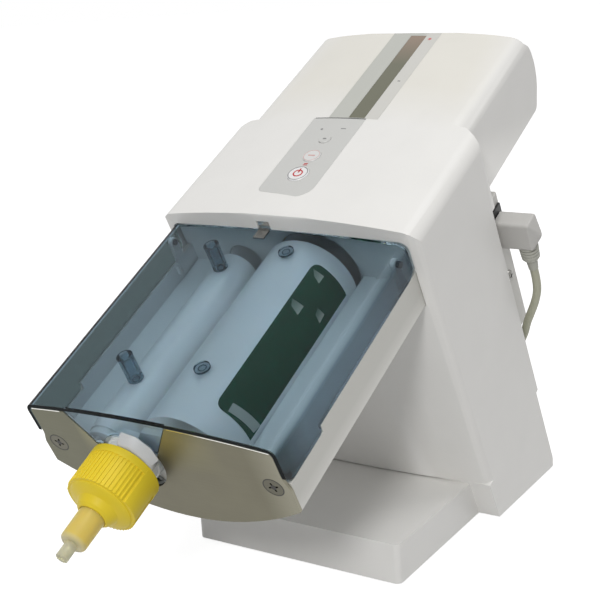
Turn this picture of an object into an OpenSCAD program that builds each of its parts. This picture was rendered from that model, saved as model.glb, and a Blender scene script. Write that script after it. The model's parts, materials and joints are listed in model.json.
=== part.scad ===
// Bench mixer for dental impression material.
// The body is drawn in its own tilted frame: x across, y up along the body axis,
// z square to that axis. tilted() sets this frame on the bench, upright() is the bench itself.

/* [Body] */
// Tilt of the body axis, nozzle end down
tilt = 26.3; // [24:0.1:28]
// Outer width of the pillar and hood
housing_w = 180; // [176:1:190]
// Depth of the pillar along the body axis
pillar_depth = 92; // [90:1:96]
// Height of the hood above the parting plane
hood_h = 218.6; // [217:0.2:222]
// Fall of the top surface towards the tail, in degrees
top_fall = 0.7; // [0.4:0.1:1.2]
// Rise of the crown at the middle of the top
crown_rise = 9.5; // [8:0.1:10.5]
// Bow of the pillar's front face in plan
front_bow = 3.5; // [1:0.1:5]
// Wall of the housing
wall = 3; // [2:0.1:3.2]
// Radius of the long outer edges
edge_r = 5; // [4:0.5:7]
// Outer width of the tail
tail_w = 157; // [155:1:160]
// Radius of the long edges of hood and tail
top_r = 11; // [8:0.5:13]
// Reach of the tail behind the pillar
tail_len = 116; // [114:1:122]
// Depth of the tail from the parting plane up to its underside
tail_floor = 156.7; // [155:0.2:158]
// Length of the shoulder between hood and tail
shoulder_len = 10; // [8:1:14]

/* [Base] */
// How far the base block's sides stand in from the housing's
base_inset = 0; // [0:0.5:4]
// Width of the foot plate
foot_w = 150; // [130:1:160]
// Distance from the front of the foot to the base block, on the bench
foot_len = 112; // [105:1:120]
// Height of the foot plate
foot_h = 26; // [24:0.5:27]
// Radius of the corners of the base in plan
base_r = 4; // [3:0.5:6]
// Height of the parting plane, below the front corner of the foot
seat_drop = 18.7; // [18:0.1:20]
// Stand-off of the rubber feet
foot_gap = 1.5; // [1:0.1:3]
// Diameter of a rubber foot
rubber_d = 16; // [12:1:20]

/* [Cartridge bay] */
// Length of the tray in front of the pillar
bay_len = 157; // [155:1:160]
// Width of the hood beside the cartridge bay
bay_side = 7; // [6:0.5:9]
// Wall of the tray
tray_wall = 3; // [2.4:0.1:3.2]
// Height of the tray's rim above the cartridge axes
rim_h = 10; // [9:0.2:11]
// Depth of the tray's straight sides below the cartridge axes
side_drop = 14.6; // [13:0.2:16]
// Depth of the belly below the cartridge axes
belly_drop = 40.4; // [39:0.2:43]
// Thickness of the steel front plate
plate_t = 2; // [1.2:0.1:2.4]
// Wall of the smoked cover
cover_t = 2.2; // [1.8:0.1:2.6]
// Height of the cover's crown above the cartridge axes
cover_h = 35.5; // [35:0.1:36.5]
// Rise of the cover's crown
cover_rise = 4.2; // [3:0.1:5]
// Radius of the cover's long edges
cover_r = 6; // [4:0.5:8]
// Length of the finger grips at the front corners of the cover
grip_len = 38; // [30:1:45]
// Depth of the finger grips below the rim
grip_drop = 4.6; // [3.5:0.1:5.5]
// Opening angle of the cover, shut at 0
cover_open = 0; // [0:1:55]

/* [Cartridges] */
// Height of the cartridge axes above the parting plane
axis_h = 171.3; // [170.8:0.1:171.8]
// Outer diameter of the large cartridge
large_d = 60.2; // [58:0.2:60.6]
// Outer diameter of the small cartridge
small_d = 28; // [26:0.2:29]
// Place of the large cartridge's axis across the body
large_x = 12.6; // [12.4:0.1:13.4]
// Place of the small cartridge's axis across the body
small_x = -41.4; // [-42.5:0.1:-41]
// Place of the mixer's axis across the body
outlet_x = -20.2; // [-20.6:0.1:-20]
// Length of the cartridges
cartridge_len = 146; // [140:1:148]
// Wall of the cartridges
cartridge_wall = 1.8; // [1.4:0.1:2]
// Angle from the cartridge's crest where the label starts
label_from = 33; // [28:1:38]
// Angle from the cartridge's crest where the label ends
label_to = 87; // [80:1:92]
// Length of the label
label_len = 117; // [100:1:120]
// Distance from the front of the hood to the label
label_back = 13.5; // [10:0.5:20]
// Diameter of the hold-down posts
post_d = 9.4; // [8:0.2:10]
// Wall of the hold-down posts
post_wall = 2.2; // [1.6:0.1:3]

/* [Mixer] */
// Outer diameter over the grip pads of the bayonet ring
ring_d = 42.4; // [41:0.2:43]
// Length of the bayonet ring's grip
ring_len = 24.4; // [23:0.2:26]
// Distance from the front plate to the ring
ring_gap = 7.4; // [6.5:0.1:9]
// Number of grip ribs round the ring
rib_count = 54; // [36:2:60]
// Length of the plain band behind the ribs
band_len = 4.6; // [3:0.2:6]
// Outer diameter of the mixing tube
tube_d = 15.6; // [15:0.1:16.4]
// Length of the mixing tube in front of the ring
tube_len = 27.7; // [24:0.1:32]
// Outer diameter of the tip
tip_d = 7.2; // [6:0.1:8]
// Length of the tip
tip_len = 9.4; // [7:0.1:12]
// Diameter of the mixer drive shaft
shaft_d = 4.4; // [4:0.1:4.6]

/* [Drive] */
// Travel of the plungers
stroke = 130; // [110:1:130]
// Position of the plungers along their travel
advance = 0; // [0:1:130]
// Diameter of the large plunger rod
large_rod_d = 15; // [12:0.5:15]
// Diameter of the small plunger rod
small_rod_d = 10; // [8:0.5:11]
// Diameter of the lead screw
screw_d = 10; // [8:0.5:11]
// Module of the gears
gear_m = 1; // [0.96:0.01:1.02]

/* [Controls] */
// Width of the control panel
panel_w = 38; // [36:0.5:40]
// Length of the control panel
panel_len = 83; // [80:1:86]
// Diameter of the large button
button_a_d = 14; // [12:0.2:15]
// Diameter of the middle button
button_b_d = 11.6; // [10:0.2:12.4]
// Diameter of the small button
button_c_d = 8; // [7:0.2:9.4]
// Width of the level strip
strip_w = 35.5; // [32:0.5:38]
// Width of the level window
window_w = 11.4; // [10:0.2:13]
// Length of the level window
window_len = 98; // [90:1:100]

/* [Mains] */
// Diameter of the mains cord
cord_d = 5.6; // [5.2:0.1:6.4]

/* [Hidden] */
$fn = 64;

// Running gap between a shaft and its bore, and seat gap between fitted mouldings
run_gap = 0.05;
seat_gap = 0.3;

// Widths that follow the housing
base_w = housing_w - 2 * base_inset;
bay_w = housing_w - 2 * bay_side;
plate_screw_x = bay_w / 2 - 10.6;

// Stations along the body axis
front_y = foot_len * cos(tilt) - 2.4;
back_y = front_y + pillar_depth;
plate_y = front_y - bay_len;
tail_y = back_y + tail_len;
shoulder_y = back_y + 3;
base_y = foot_len * cos(tilt);
base_back_y = back_y - 2.9;
bulk_y = front_y + 9;
bulk_t = 4;
plate_out = plate_y + plate_t;
tray_front_t = 3;
bear_y = bulk_y + 23;
bear_t = 4;
rear_bear_y = tail_y - 18;

// Levels square to the body axis
seat_z = -seat_drop;
axis_z = seat_z + axis_h;
top_z = seat_z + hood_h;
floor_z = seat_z + tail_floor;
rim_z = axis_z + rim_h;
side_z = axis_z - side_drop;
belly_z = axis_z - belly_drop;
cover_z = axis_z + cover_h;
skirt_z = rim_z + 0.4;
cover_side_z = cover_z - cover_rise;
frame_z = floor_z + wall;
frame_t = 2.5;

// Cover hinge
hinge_y = front_y - 7.5;
hinge_z = cover_z - 10.9;
hinge_d = 4;
hinge_r = hinge_z - skirt_z;
ear_r = hinge_d / 2 + 1.1;
ear_gap = 1.2;
cover_back = front_y + 1.8;

// Mixer stations
ring_back = plate_y - ring_gap;
ring_front = ring_back - ring_len;
cone_len = 6.5;
tube_front = ring_front - tube_len;
tip_front = tube_front - tip_len;

// Plunger and carriage stations
plunger_t = 8;
plunger_y = bulk_y + 0.5;
carriage_t = 10;
carriage_y = rear_bear_y - 13;
large_bore = large_d / 2 - cartridge_wall;
small_bore = small_d / 2 - cartridge_wall;
large_disc_r = large_bore - 1;
small_disc_r = small_bore - 0.8;
cartridge_back = front_y - 1.5;
cartridge_front = cartridge_back - cartridge_len;
head_t = cartridge_front - plate_out - tray_front_t - seat_gap;
screw_x = -8;
screw_z = axis_z + 15.4;
guide_d = 8;
guides = [[-60, axis_z + 12], [22, axis_z + 25]];

// Gear trains
screw_teeth = 36;
idler_teeth = 26;
press_teeth = 18;
mixer_teeth = 26;
mixer_pinion_teeth = 12;
idler_x = screw_x + (screw_teeth + idler_teeth) / 2 * gear_m;
motor_x = idler_x + (idler_teeth + press_teeth) / 2 * gear_m;
gear_t = 7;
gear_y = rear_bear_y + bear_t + 2;
mixer_gear_y = bulk_y + bulk_t + 7;
mixer_pinion_z = axis_z - (mixer_teeth + mixer_pinion_teeth) / 2 * gear_m;
press_motor_d = 30;
press_motor_len = 58;
mixer_motor_d = 25;
mixer_motor_len = 50;
pinion_shaft_d = 4;

// Controls
panel_x = -5.5;
panel_y = front_y + 17.4;
skin_t = 0.8;
button_x = -4.2;
button_a_y = front_y + 40.6;
button_b_y = front_y + 59.1;
button_c_y = front_y + 77;
button_gap = 0.15;
button_proud = 0.7;
strip_x = 3.8;
strip_y = panel_y + panel_len + 0.6;
window_x = 6.2;
window_y = strip_y + 0.6;
window_t = 2;
board_t = 1.6;
board_z = axis_z + 37.9;

// Rear cover and mains inlet
bulge_w = tail_w + 1;
bulge_d = 29.4;
bulge_low = seat_z + 41.2;
bulge_high = seat_z + 148.7;
bulge_x = bulge_w / 2;
inlet_y = back_y + 18.3;
inlet_z = axis_z - 42.5;
inlet_y_w = 19;
inlet_z_w = 25;
inlet_out = 1.6;
screw_y = inlet_y + 0.6;
side_screw_z = axis_z - 84.6;
switch_z = bulge_low + 88;
tongue_x = -9.4;
tongue_w = 7.8;
frame_holes = [for (x = [-52, 52], y = [back_y + 14, back_y + 84]) [x, y]];
plug_y_w = 14.6;
plug_z_w = 20.6;
plug_len = 25;
plug_x = bulge_x + inlet_out + 0.8;
relief_x = plug_x + plug_len - 7.7;
relief_d = 13;
relief_len = 20;

// Middle of the whole length on the bench, without the cord
mid_y = (tip_front * cos(tilt) - (axis_z + tip_d / 2 - 0.4) * sin(tilt)
    + base_back_y / cos(tilt)) / 2;

// Set children in the tilted body frame
module tilted() { translate([0, -mid_y, foot_gap]) rotate([tilt, 0, 0]) children(); }

// Set the children with the cover turned by its opening angle
module opened() {
    translate([0, hinge_y, hinge_z]) rotate([-cover_open, 0, 0])
        translate([0, -hinge_y, -hinge_z]) children();
}

// Set children upright, from the front corner of the foot
module upright() { translate([0, -mid_y, foot_gap]) children(); }

// Extrude a drawing in x and z along the body axis, from one station to another
module along_y(y0, y1) { translate([0, y1, 0]) rotate([90, 0, 0]) linear_extrude(y1 - y0) children(); }

// Extrude a drawing in y and z across the body, centred
module across_x(w) { rotate([90, 0, 90]) translate([0, 0, -w / 2]) linear_extrude(w) children(); }

// Cylinder along the body axis
module rod_y(x, z, y0, y1, r) { translate([x, y0, z]) rotate([-90, 0, 0]) cylinder(r = r, h = y1 - y0); }

// Points of an arc
function arc(c, r, a0, a1, n) = [for (i = [0:n]) let (a = a0 + (a1 - a0) * i / n) c + r * [cos(a), sin(a)]];

// Crowned outline: straight sides, rounded shoulders that run into a bowed top
function crowned(half, low, side, rise, r) = let (e = 90 - atan(2 * rise * (half - r) / pow(half, 2)),
        x1 = half - r + r * cos(e), c = side + rise * (1 - pow(x1 / half, 2)) - r * sin(e))
    concat([[-half, low], [half, low]], arc([half - r, c], r, 0, e, 6),
        [for (i = [1:15]) let (x = x1 * (1 - i / 8)) [x, side + rise * (1 - pow(x / half, 2))]],
        arc([r - half, c], r, 180 - e, 180, 6));

// Plan outline of the housing, bowed in front, stepped in to the tail behind the pillar
function plan(inset) = let (h = housing_w / 2 - inset, t = tail_w / 2 - inset, f = front_y + inset,
        r = edge_r - min(inset, edge_r - 1), b = shoulder_y - inset, q = 4)
    concat([for (i = [-8:8]) let (x = (h - r) * i / 8) [x, f + front_bow * pow(x / h, 2)]],
        arc([h - r, f + front_bow + r], r, -80, 0, 5), arc([h - q, b], q, 0, 58, 3),
        [[t, b + shoulder_len], [t, tail_y + 12], [-t, tail_y + 12], [-t, b + shoulder_len]],
        arc([q - h, b], q, 122, 180, 3), arc([-h + r, f + front_bow + r], r, 180, 260, 5));

// Side outline of the housing: pillar, hood and tail with a bowed end
function profile(inset) = let (f = front_y + inset, b = back_y - inset, e = tail_y - inset,
        low = seat_z - (inset > 0 ? 1 : 0), under = floor_z + inset, t = top_z + 6,
        end = top_z - (tail_y - front_y) * tan(top_fall) - inset)
    concat([[f, low], [f, top_z - 2 - inset], [f + 0.6, top_z - 0.6 - inset]],
        [[f + 2, top_z - inset], [f + 2, t]],
        [[e - 6, t], [e - 5, end], [e - 3, end - 1.2], [e - 1.8, end - 4]],
        [for (i = [0:6]) let (a = 64 - i * 18) [e - 6 + 11 * cos(a), axis_z + 14 + 22 * sin(a)]],
        [[e - 4.5, under + 1.5], [e - 7, under], [b, under], [b, low]]);

// Crowned length of the hood or the tail, half as wide as stated, up to a station
module crown_form(half, inset, end) {
    rise = crown_rise * pow(2 * half / housing_w, 2);
    translate([0, front_y, top_z]) rotate([-top_fall, 0, 0]) along_y(-20, end - front_y)
        polygon(crowned(half, -hood_h - 60, -rise - inset, rise, max(1, top_r - inset)));
}

// Solid form of the housing, drawn in by an inset
module housing_form(inset) {
    intersection() {
        translate([0, 0, seat_z - 2]) linear_extrude(hood_h + 20) polygon(plan(inset));
        union() {
            crown_form(housing_w / 2 - inset, inset, shoulder_y + shoulder_len - inset);
            crown_form(tail_w / 2 - inset, inset, tail_y + 30);
        }
        across_x(housing_w + 4) polygon(profile(inset));
    }
}

// Outline of the tray's lower body: straight sides over a curved belly
function belly(inset, high) = let (h = bay_w / 2 - inset, d = side_z - belly_z)
    concat([[h, high], [-h, high]],
        [for (i = [0:20]) let (x = h * (i / 10 - 1)) [x, belly_z + inset + d * pow(x / h, 2)]]);

// Outline of the bay's opening in the hood, under the lip
module bay_opening() {
    polygon(belly(-0.4, rim_z));
    polygon(crowned(bay_w / 2 + 0.5, rim_z - 1, cover_side_z + 0.6, cover_rise, cover_r + 0.5));
}

// Outline of the notch that the mixer's neck lies in
module notch(grow) {
    translate([outlet_x, axis_z]) circle(r = 21.3 + grow);
    polygon([[outlet_x - 20 - grow, axis_z + 7], [outlet_x + 20 + grow, axis_z + 7],
        [outlet_x + 35.7 + grow, cover_z - 3], [outlet_x + 35.7 + grow, cover_z + 10],
        [outlet_x - 35.7 - grow, cover_z + 10], [outlet_x - 35.7 - grow, cover_z - 3]]);
}

// Outline of the control panel, seen from above
module panel_outline(grow) {
    x0 = panel_x - panel_w / 2 - grow;
    x1 = panel_x + panel_w / 2 + grow;
    y0 = panel_y - grow;
    polygon(concat(arc([x1 - 12, y0 + 13], 12, -70, 0, 6), [[x1, panel_y + panel_len + grow],
        [x0, panel_y + panel_len + grow]], arc([x0 + 5, y0 + 9.5], 5, 180, 250, 4)));
}

// Outline of the level strip, seen from above
module strip_outline(grow) {
    translate([strip_x - strip_w / 2 - grow, strip_y - grow]) square([strip_w + 2 * grow, tail_len]);
}

// Outline of the level window, seen from above
module window_outline(grow) {
    translate([window_x - window_w / 2 - grow, window_y - grow])
        square([window_w + 2 * grow, window_len + 2 * grow]);
}

// Upright prism over the top of the housing
module over_top(z0) { translate([0, 0, z0]) linear_extrude(60) children(); }

// Shell of the pillar, hood and tail, one moulding
module housing_shell() {
    color("gainsboro") tilted() difference() {
        union() {
            difference() {
                housing_form(0);
                housing_form(wall);
                along_y(front_y - 5, bulk_y - 2) bay_opening();
            }
            for (x = [-1, 1], y = [front_y + 22, back_y - 22])
                translate([x * (housing_w / 2 - 14), y, seat_z]) difference() {
                    union() {
                        cylinder(r = 5, h = 22);
                        translate([x > 0 ? 0 : -12, -1.5, 0]) cube([12, 3, 22]);
                    }
                    translate([0, 0, -1]) cylinder(r = 1.7, h = 16);
                }
            for (x = [-20, 8], y = [panel_y + 9, panel_y + 72])
                translate([x, y, board_z + board_t]) cylinder(r = 2.2, h = 4.8);
        }
        difference() {
            over_top(board_z) { panel_outline(0.1); strip_outline(0.1); }
            housing_form(skin_t);
        }
        over_top(board_z) window_outline(-1);
        difference() {
            over_top(board_z) window_outline(0.1);
            housing_form(window_t);
        }
        translate([button_x, 0, board_z + 1]) {
            translate([0, button_a_y, 0]) cylinder(r = button_a_d / 2 + button_gap, h = 20);
            translate([0, button_b_y, 0]) cylinder(r = button_b_d / 2 + button_gap, h = 20);
            translate([0, button_c_y, 0]) cylinder(r = button_c_d / 2 + button_gap, h = 20);
        }
        translate([tongue_x - tongue_w / 2 - 0.5, front_y - 2, cover_z]) cube([tongue_w + 1, wall + 3, 6.4]);
        for (p = frame_holes) translate([p[0], p[1], floor_z - 1]) cylinder(r = 1.8, h = wall + 2);
        translate([0, back_y, (seat_z + floor_z) / 2 - 2])
            cube([housing_w - 2 * wall, 16, floor_z - seat_z + 4], center = true);
    }
}

// Grey inlay that carries the buttons, bent to the crown of the hood
module control_panel() {
    color("silver") tilted() difference() {
        intersection() {
            housing_form(0);
            over_top(board_z) panel_outline(0);
        }
        housing_form(skin_t);
        translate([button_x, 0, board_z]) {
            translate([0, button_a_y, 0]) cylinder(r = button_a_d / 2 + button_gap, h = 20);
            translate([0, button_b_y, 0]) cylinder(r = button_b_d / 2 + button_gap, h = 20);
            translate([0, button_c_y, 0]) cylinder(r = button_c_d / 2 + button_gap, h = 20);
        }
    }
}

// Grey inlay round the level window
module level_strip() {
    color("lightgrey") tilted() difference() {
        intersection() {
            housing_form(0);
            over_top(board_z) strip_outline(0);
        }
        housing_form(skin_t);
        over_top(board_z) window_outline(0.1);
    }
}

// Smoked window over the level pointer
module level_window() {
    color([0.3, 0.3, 0.25, 0.8]) tilted() difference() {
        intersection() {
            housing_form(0.1);
            over_top(board_z) window_outline(0);
        }
        housing_form(window_t);
    }
}

// Round key that stands just proud of the panel
module key(y, d) {
    top = top_z - (y - front_y) * tan(top_fall) + button_proud;
    low = board_z + board_t + 2.4;
    r = d / 2;
    tilted() translate([button_x, y, 0]) rotate_extrude()
        polygon([[0, low], [r, low], [r, top - 0.5], [r - 0.5, top], [0, top]]);
}

module large_button() { color("white") key(button_a_y, button_a_d); }
module middle_button() { color("white") key(button_b_y, button_b_d); }
module small_button() { color("whitesmoke") key(button_c_y, button_c_d); }

// Circuit board under the keys, with its dome switches
module control_board() {
    color("seagreen") tilted() {
        translate([-24, panel_y + 3, board_z]) cube([36, panel_len - 6, board_t]);
        for (y = [button_a_y, button_b_y, button_c_y])
            translate([button_x, y, board_z + board_t]) cylinder(r = 2.6, h = 1.4);
    }
}

// Base block and foot plate, one hollow moulding
module base() {
    block = [[base_y, -base_y * tan(tilt)], [base_back_y, -base_back_y * tan(tilt)],
        [base_back_y, seat_z], [base_y, seat_z]];
    color("gainsboro") difference() {
        union() {
            upright() linear_extrude(foot_h) foot_plan(0);
            intersection() {
                tilted() across_x(base_w) polygon(block);
                upright() translate([0, 0, 0]) linear_extrude(200) block_plan(0);
            }
        }
        upright() translate([0, 0, -1]) linear_extrude(foot_h - wall + 1) foot_plan(wall);
        intersection() {
            tilted() across_x(base_w - 2 * wall) polygon([[base_y + wall, -base_y * tan(tilt) - 20],
                [base_back_y - wall, -back_y * tan(tilt) - 20], [base_back_y - wall, seat_z - wall],
                [base_y + wall, seat_z - wall]]);
            upright() translate([0, 0, -1]) linear_extrude(200) block_plan(wall);
        }
        tilted() translate([0, (front_y + back_y) / 2 + 6, seat_z]) cube([110, 40, 3 * wall], center = true);
        for (x = [-1, 1], y = [front_y + 22, back_y - 22])
            tilted() translate([x * (housing_w / 2 - 14), y, seat_z - 6]) cylinder(r = 2.2, h = 8);
    }
}

// Plan of the foot plate, with rounded front corners
module foot_plan(inset) {
    h = foot_w / 2 - inset;
    r = base_r - min(inset, base_r - 1);
    polygon(concat([[h, foot_len + 10 - inset], [-h, foot_len + 10 - inset]],
        arc([-h + r, inset + r], r, 180, 270, 5), arc([h - r, inset + r], r, 270, 360, 5)));
}

// Plan of the base block, with rounded corners
module block_plan(inset) {
    h = base_w / 2 - inset;
    r = base_r - min(inset, base_r - 1);
    y1 = base_back_y / cos(tilt) - inset;
    y0 = foot_len - 60;
    polygon(concat([[h, y0], [h, y1 - r]],
        arc([h - r, y1 - r], r, 0, 90, 5),
        arc([-h + r, y1 - r], r, 90, 180, 5),
        [[-h, y0]]));
}

// Sheet that closes the base from below
module bottom_plate() {
    color("silver") upright() difference() {
        union() {
            linear_extrude(1.2) foot_plan(wall + seat_gap);
            linear_extrude(1.2) difference() {
                intersection() {
                    block_plan(wall + seat_gap);
                    translate([-base_w, 0])
                        square([2 * base_w, (base_back_y - wall) / cos(tilt) - 1.2 * tan(tilt) - seat_gap]);
                }
                translate([-base_w, foot_len - 200]) square([2 * base_w, 200 + wall / cos(tilt) + seat_gap]);
            }
        }
        for (p = feet()) translate([p[0], p[1], -1]) cylinder(r = 2.1, h = 4);
    }
}

// Places of the four rubber feet
function feet() = [for (x = [-1, 1], y = [16, base_back_y / cos(tilt) - 18])
    [x * (y < foot_len ? foot_w / 2 - 18 : base_w / 2 - 20), y]];

// Rubber feet, pushed through the bottom plate
module rubber_feet() {
    color("dimgrey") upright() for (p = feet()) translate([p[0], p[1], 0]) {
        translate([0, 0, -foot_gap])
            cylinder(r1 = rubber_d / 2 - 0.8, r2 = rubber_d / 2, h = foot_gap, $fn = 48);
        cylinder(r = 2, h = 3.4);
        translate([0, 0, 1.2]) cylinder(r = 3.4, h = 2.2);
    }
}

// Screws that hold the housing on the base, and the drive frame on the floor of the tail
module housing_screws() {
    color("silver") tilted() {
        for (x = [-1, 1], y = [front_y + 22, back_y - 22])
            translate([x * (housing_w / 2 - 14), y, seat_z - wall]) pan_screw(wall + 14);
        for (p = frame_holes) translate([p[0], p[1], floor_z]) pan_screw(wall + frame_t + 2);
    }
}

// Cross-head screw, its head hanging below the seat
module pan_screw(l) {
    difference() {
        rotate_extrude() polygon([[0, -2.2], [2.6, -2], [3.4, -1], [3.4, 0], [1.65, 0], [1.65, l], [0, l]]);
        for (a = [0, 90]) rotate([0, 0, a]) translate([-1.8, -0.4, -3]) cube([3.6, 0.8, 1.8]);
    }
}

// Rear cover with the electronics bulge, open at the back for its panel
module rear_cover() {
    h = housing_w / 2 - wall - seat_gap;
    color("whitesmoke") tilted() difference() {
        union() {
            translate([-h, back_y - wall, seat_z + 0.4]) cube([2 * h, wall, floor_z - seat_z - 0.8]);
            translate([-bulge_x, back_y - 1, bulge_low]) cube([bulge_w, bulge_d + 1, bulge_high - bulge_low]);
            translate([-bulge_x, back_y - 1, bulge_high - 1]) cube([bulge_w, 10, floor_z - bulge_high + 0.6]);
        }
        translate([-bulge_x + wall, back_y - wall - 1, bulge_low + wall])
            cube([bulge_w - 2 * wall, bulge_d + wall + 2, bulge_high - bulge_low - 2 * wall]);
        translate([bulge_x - wall - 1, inlet_y - inlet_y_w / 2 + 1.5, inlet_z - inlet_z_w / 2 + 1.5])
            cube([wall + 2, inlet_y_w - 3, inlet_z_w - 3]);
        for (x = [-1, 1]) translate([x * (bulge_x - wall - 1), screw_y, side_screw_z])
            rotate([0, x * 90, 0]) cylinder(r = 1.8, h = 8);
    }
}

// Panel let into the back of the bulge, with air slots, the switch hole and two screw tabs
module back_panel() {
    x = bulge_x - wall - seat_gap;
    z0 = bulge_low + wall + seat_gap;
    z1 = bulge_high - wall - seat_gap;
    color("lightgrey") tilted() difference() {
        union() {
            translate([-x, back_y + bulge_d - 2.4, z0]) cube([2 * x, 2, z1 - z0]);
            for (s = [-1, 1]) translate([s > 0 ? x - 3 : -x, screw_y - 5, side_screw_z - 6])
                cube([3, back_y + bulge_d - 1 - screw_y + 5, 12]);
        }
        for (i = [0:6], c = [-1, 1])
            translate([c * bulge_x / 2 - 24, back_y + bulge_d - 4, bulge_low + 16 + 8 * i]) cube([48, 6, 3.4]);
        for (s = [-1, 1]) translate([s * (x - 5), screw_y, side_screw_z])
            rotate([0, s * 90, 0]) cylinder(r = 1.7, h = 8);
        translate([0, back_y + bulge_d, switch_z]) cube([20.2, 12, 14.2], center = true);
    }
}

// Screws in the sides of the rear cover
module rear_cover_screws() {
    color("silver") tilted() for (x = [-1, 1])
        translate([x * bulge_x, screw_y, side_screw_z]) rotate([0, x * 90, 0]) difference() {
            rotate_extrude()
                polygon([[0, -wall - 5], [1.65, -wall - 5], [1.65, 0], [4, 0], [3.6, 1.2], [2.2, 1.9], [0, 2]]);
            for (a = [0, 90]) rotate([0, 0, a]) translate([-2, -0.4, 1]) cube([4, 0.8, 2]);
        }
}

// Frame of the mains switch, clipped into the back panel
module switch_frame() {
    color("black") tilted() translate([0, back_y + bulge_d, switch_z]) difference() {
        union() {
            translate([-12, -0.4, -9]) cube([24, 1.4, 18]);
            translate([-10, -16, -7]) cube([20, 16, 14]);
        }
        translate([-8.3, -12, -6.4]) cube([16.6, 20, 12.8]);
        translate([-9.6, -3, 0]) rotate([0, 90, 0]) cylinder(r = 1.5 + run_gap, h = 19.2);
    }
}

// Rocker of the mains switch, at rest with its lower half pressed in
module power_switch() {
    color("dimgrey") tilted() translate([0, back_y + bulge_d - 3, switch_z]) rotate([8, 0, 0]) {
        across_x(16)
            polygon([[-3, -3.6], [3.4, -5.6], [4.8, -5.4], [3.4, 0], [4.8, 5.4], [3.4, 5.6], [-3, 3.6]]);
        rotate([0, 90, 0]) translate([0, 0, -9.4]) cylinder(r = 1.5, h = 18.8);
    }
}

// Two-pole appliance inlet
module power_inlet() {
    color("black") tilted() difference() {
        union() {
            translate([bulge_x, inlet_y - inlet_y_w / 2, inlet_z - inlet_z_w / 2])
                cube([inlet_out, inlet_y_w, inlet_z_w]);
            translate([bulge_x - 14, inlet_y - inlet_y_w / 2 + 1.8, inlet_z - inlet_z_w / 2 + 1.8])
                cube([14.5, inlet_y_w - 3.6, inlet_z_w - 3.6]);
        }
        translate([bulge_x - 12, inlet_y - 4.6, inlet_z - 7.2]) cube([20, 9.2, 14.4]);
    }
    color("silver") tilted() for (z = [-3.6, 3.6])
        translate([bulge_x - 13, inlet_y, inlet_z + z]) rotate([0, 90, 0]) cylinder(r = 1.2, h = 11);
}

// Right-angled appliance plug
module appliance_plug() {
    color("silver") tilted() difference() {
        union() {
            hull() {
                for (y = [inlet_y - plug_y_w / 2 + 2, inlet_y + plug_y_w / 2 - 2],
                        z = [inlet_z - 0.2 - plug_z_w / 2, inlet_z - 4.2 + plug_z_w / 2])
                    translate([plug_x, y, z]) {
                        rotate([0, 90, 0]) cylinder(r = 2, h = 1, $fn = 32);
                        translate([plug_len - 3, 0, 0]) sphere(r = 2, $fn = 24);
                    }
                translate([plug_x + plug_len - 2, inlet_y, inlet_z - 4]) sphere(r = 5, $fn = 32);
            }
            translate([bulge_x - 11.5, inlet_y - 4.3, inlet_z - 6.9])
                cube([plug_x - bulge_x + 12, 8.6, 13.8]);
        }
        for (z = [-3.6, 3.6])
            translate([bulge_x - 12, inlet_y, inlet_z + z]) rotate([0, 90, 0]) cylinder(r = 1.3, h = 11);
    }
}

// Ribbed strain relief that tapers down to the cord
module plug_strain_relief() {
    z1 = inlet_z - 2.2 - plug_z_w / 2;
    color("silver") tilted() translate([relief_x, inlet_y, z1]) {
        rotate_extrude() polygon(concat([[0, 0], [relief_d / 2, 0]],
            [for (i = [0:3]) let (r = relief_d / 2, z = -2.6 * i)
                each [[r - 0.15 * i, z - 1.6], [r - 0.9, z - 1.9],
                    [r - 0.9, z - 2.3], [r - 0.15 * i - 0.1, z - 2.6]]],
            [[relief_d / 2 - 1.2, -11.4], [cord_d / 2 + 1, -12.6]],
            [[cord_d / 2 + 0.4, -relief_len], [0, -relief_len]]));
    }
}

// Steel front plate: crowned under the cover, stepped out below it, notched for the neck
module front_plate() {
    in = bay_w / 2 - cover_t - 0.4;
    step = [[bay_w / 2, rim_z - 30], [bay_w / 2, rim_z - 8.6], [bay_w / 2 - 0.5, rim_z - 7],
        [in + 0.9, rim_z - 3.6], [in + 0.2, rim_z - 1.6], [in, rim_z + 1]];
    color("tan") tilted() difference() {
        along_y(plate_y, plate_out) difference() {
            union() {
                intersection() {
                    polygon(belly(0, rim_z + 1));
                    polygon(concat([[-90, belly_z - 5], [90, belly_z - 5]], step,
                        [for (i = [5:-1:0]) [-step[i][0], step[i][1]]]));
                }
                polygon(crowned(in, rim_z - 3, cover_side_z - cover_t - 0.5, cover_rise, cover_r - cover_t - 0.4));
            }
            notch(0);
        }
        for (x = [-plate_screw_x, plate_screw_x]) rod_y(x, axis_z + 2.2, plate_y - 1, plate_out + 1, 2.2);
        for (x = [-plate_screw_x, plate_screw_x])
            translate([x, plate_y - 0.01, axis_z + 2.2]) rotate([-90, 0, 0])
            cylinder(r1 = 6.05, r2 = 2.2, h = 1.6, $fn = 48);
    }
}

// Countersunk screws of the front plate
module plate_screws() {
    color("silver") tilted() for (x = [-plate_screw_x, plate_screw_x]) difference() {
        union() {
            translate([x, plate_y, axis_z + 2.2]) rotate([-90, 0, 0])
                cylinder(r1 = 5.9, r2 = 2.1, h = 1.6, $fn = 48);
            rod_y(x, axis_z + 2.2, plate_y + 1.5, plate_out + 7.4, 2.1);
        }
        translate([x, plate_y, axis_z + 2.2]) rotate([0, x, 0]) for (a = [0, 90]) rotate([0, a, 0])
            cube([6.4, 2.4, 1.1], center = true);
    }
}

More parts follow.
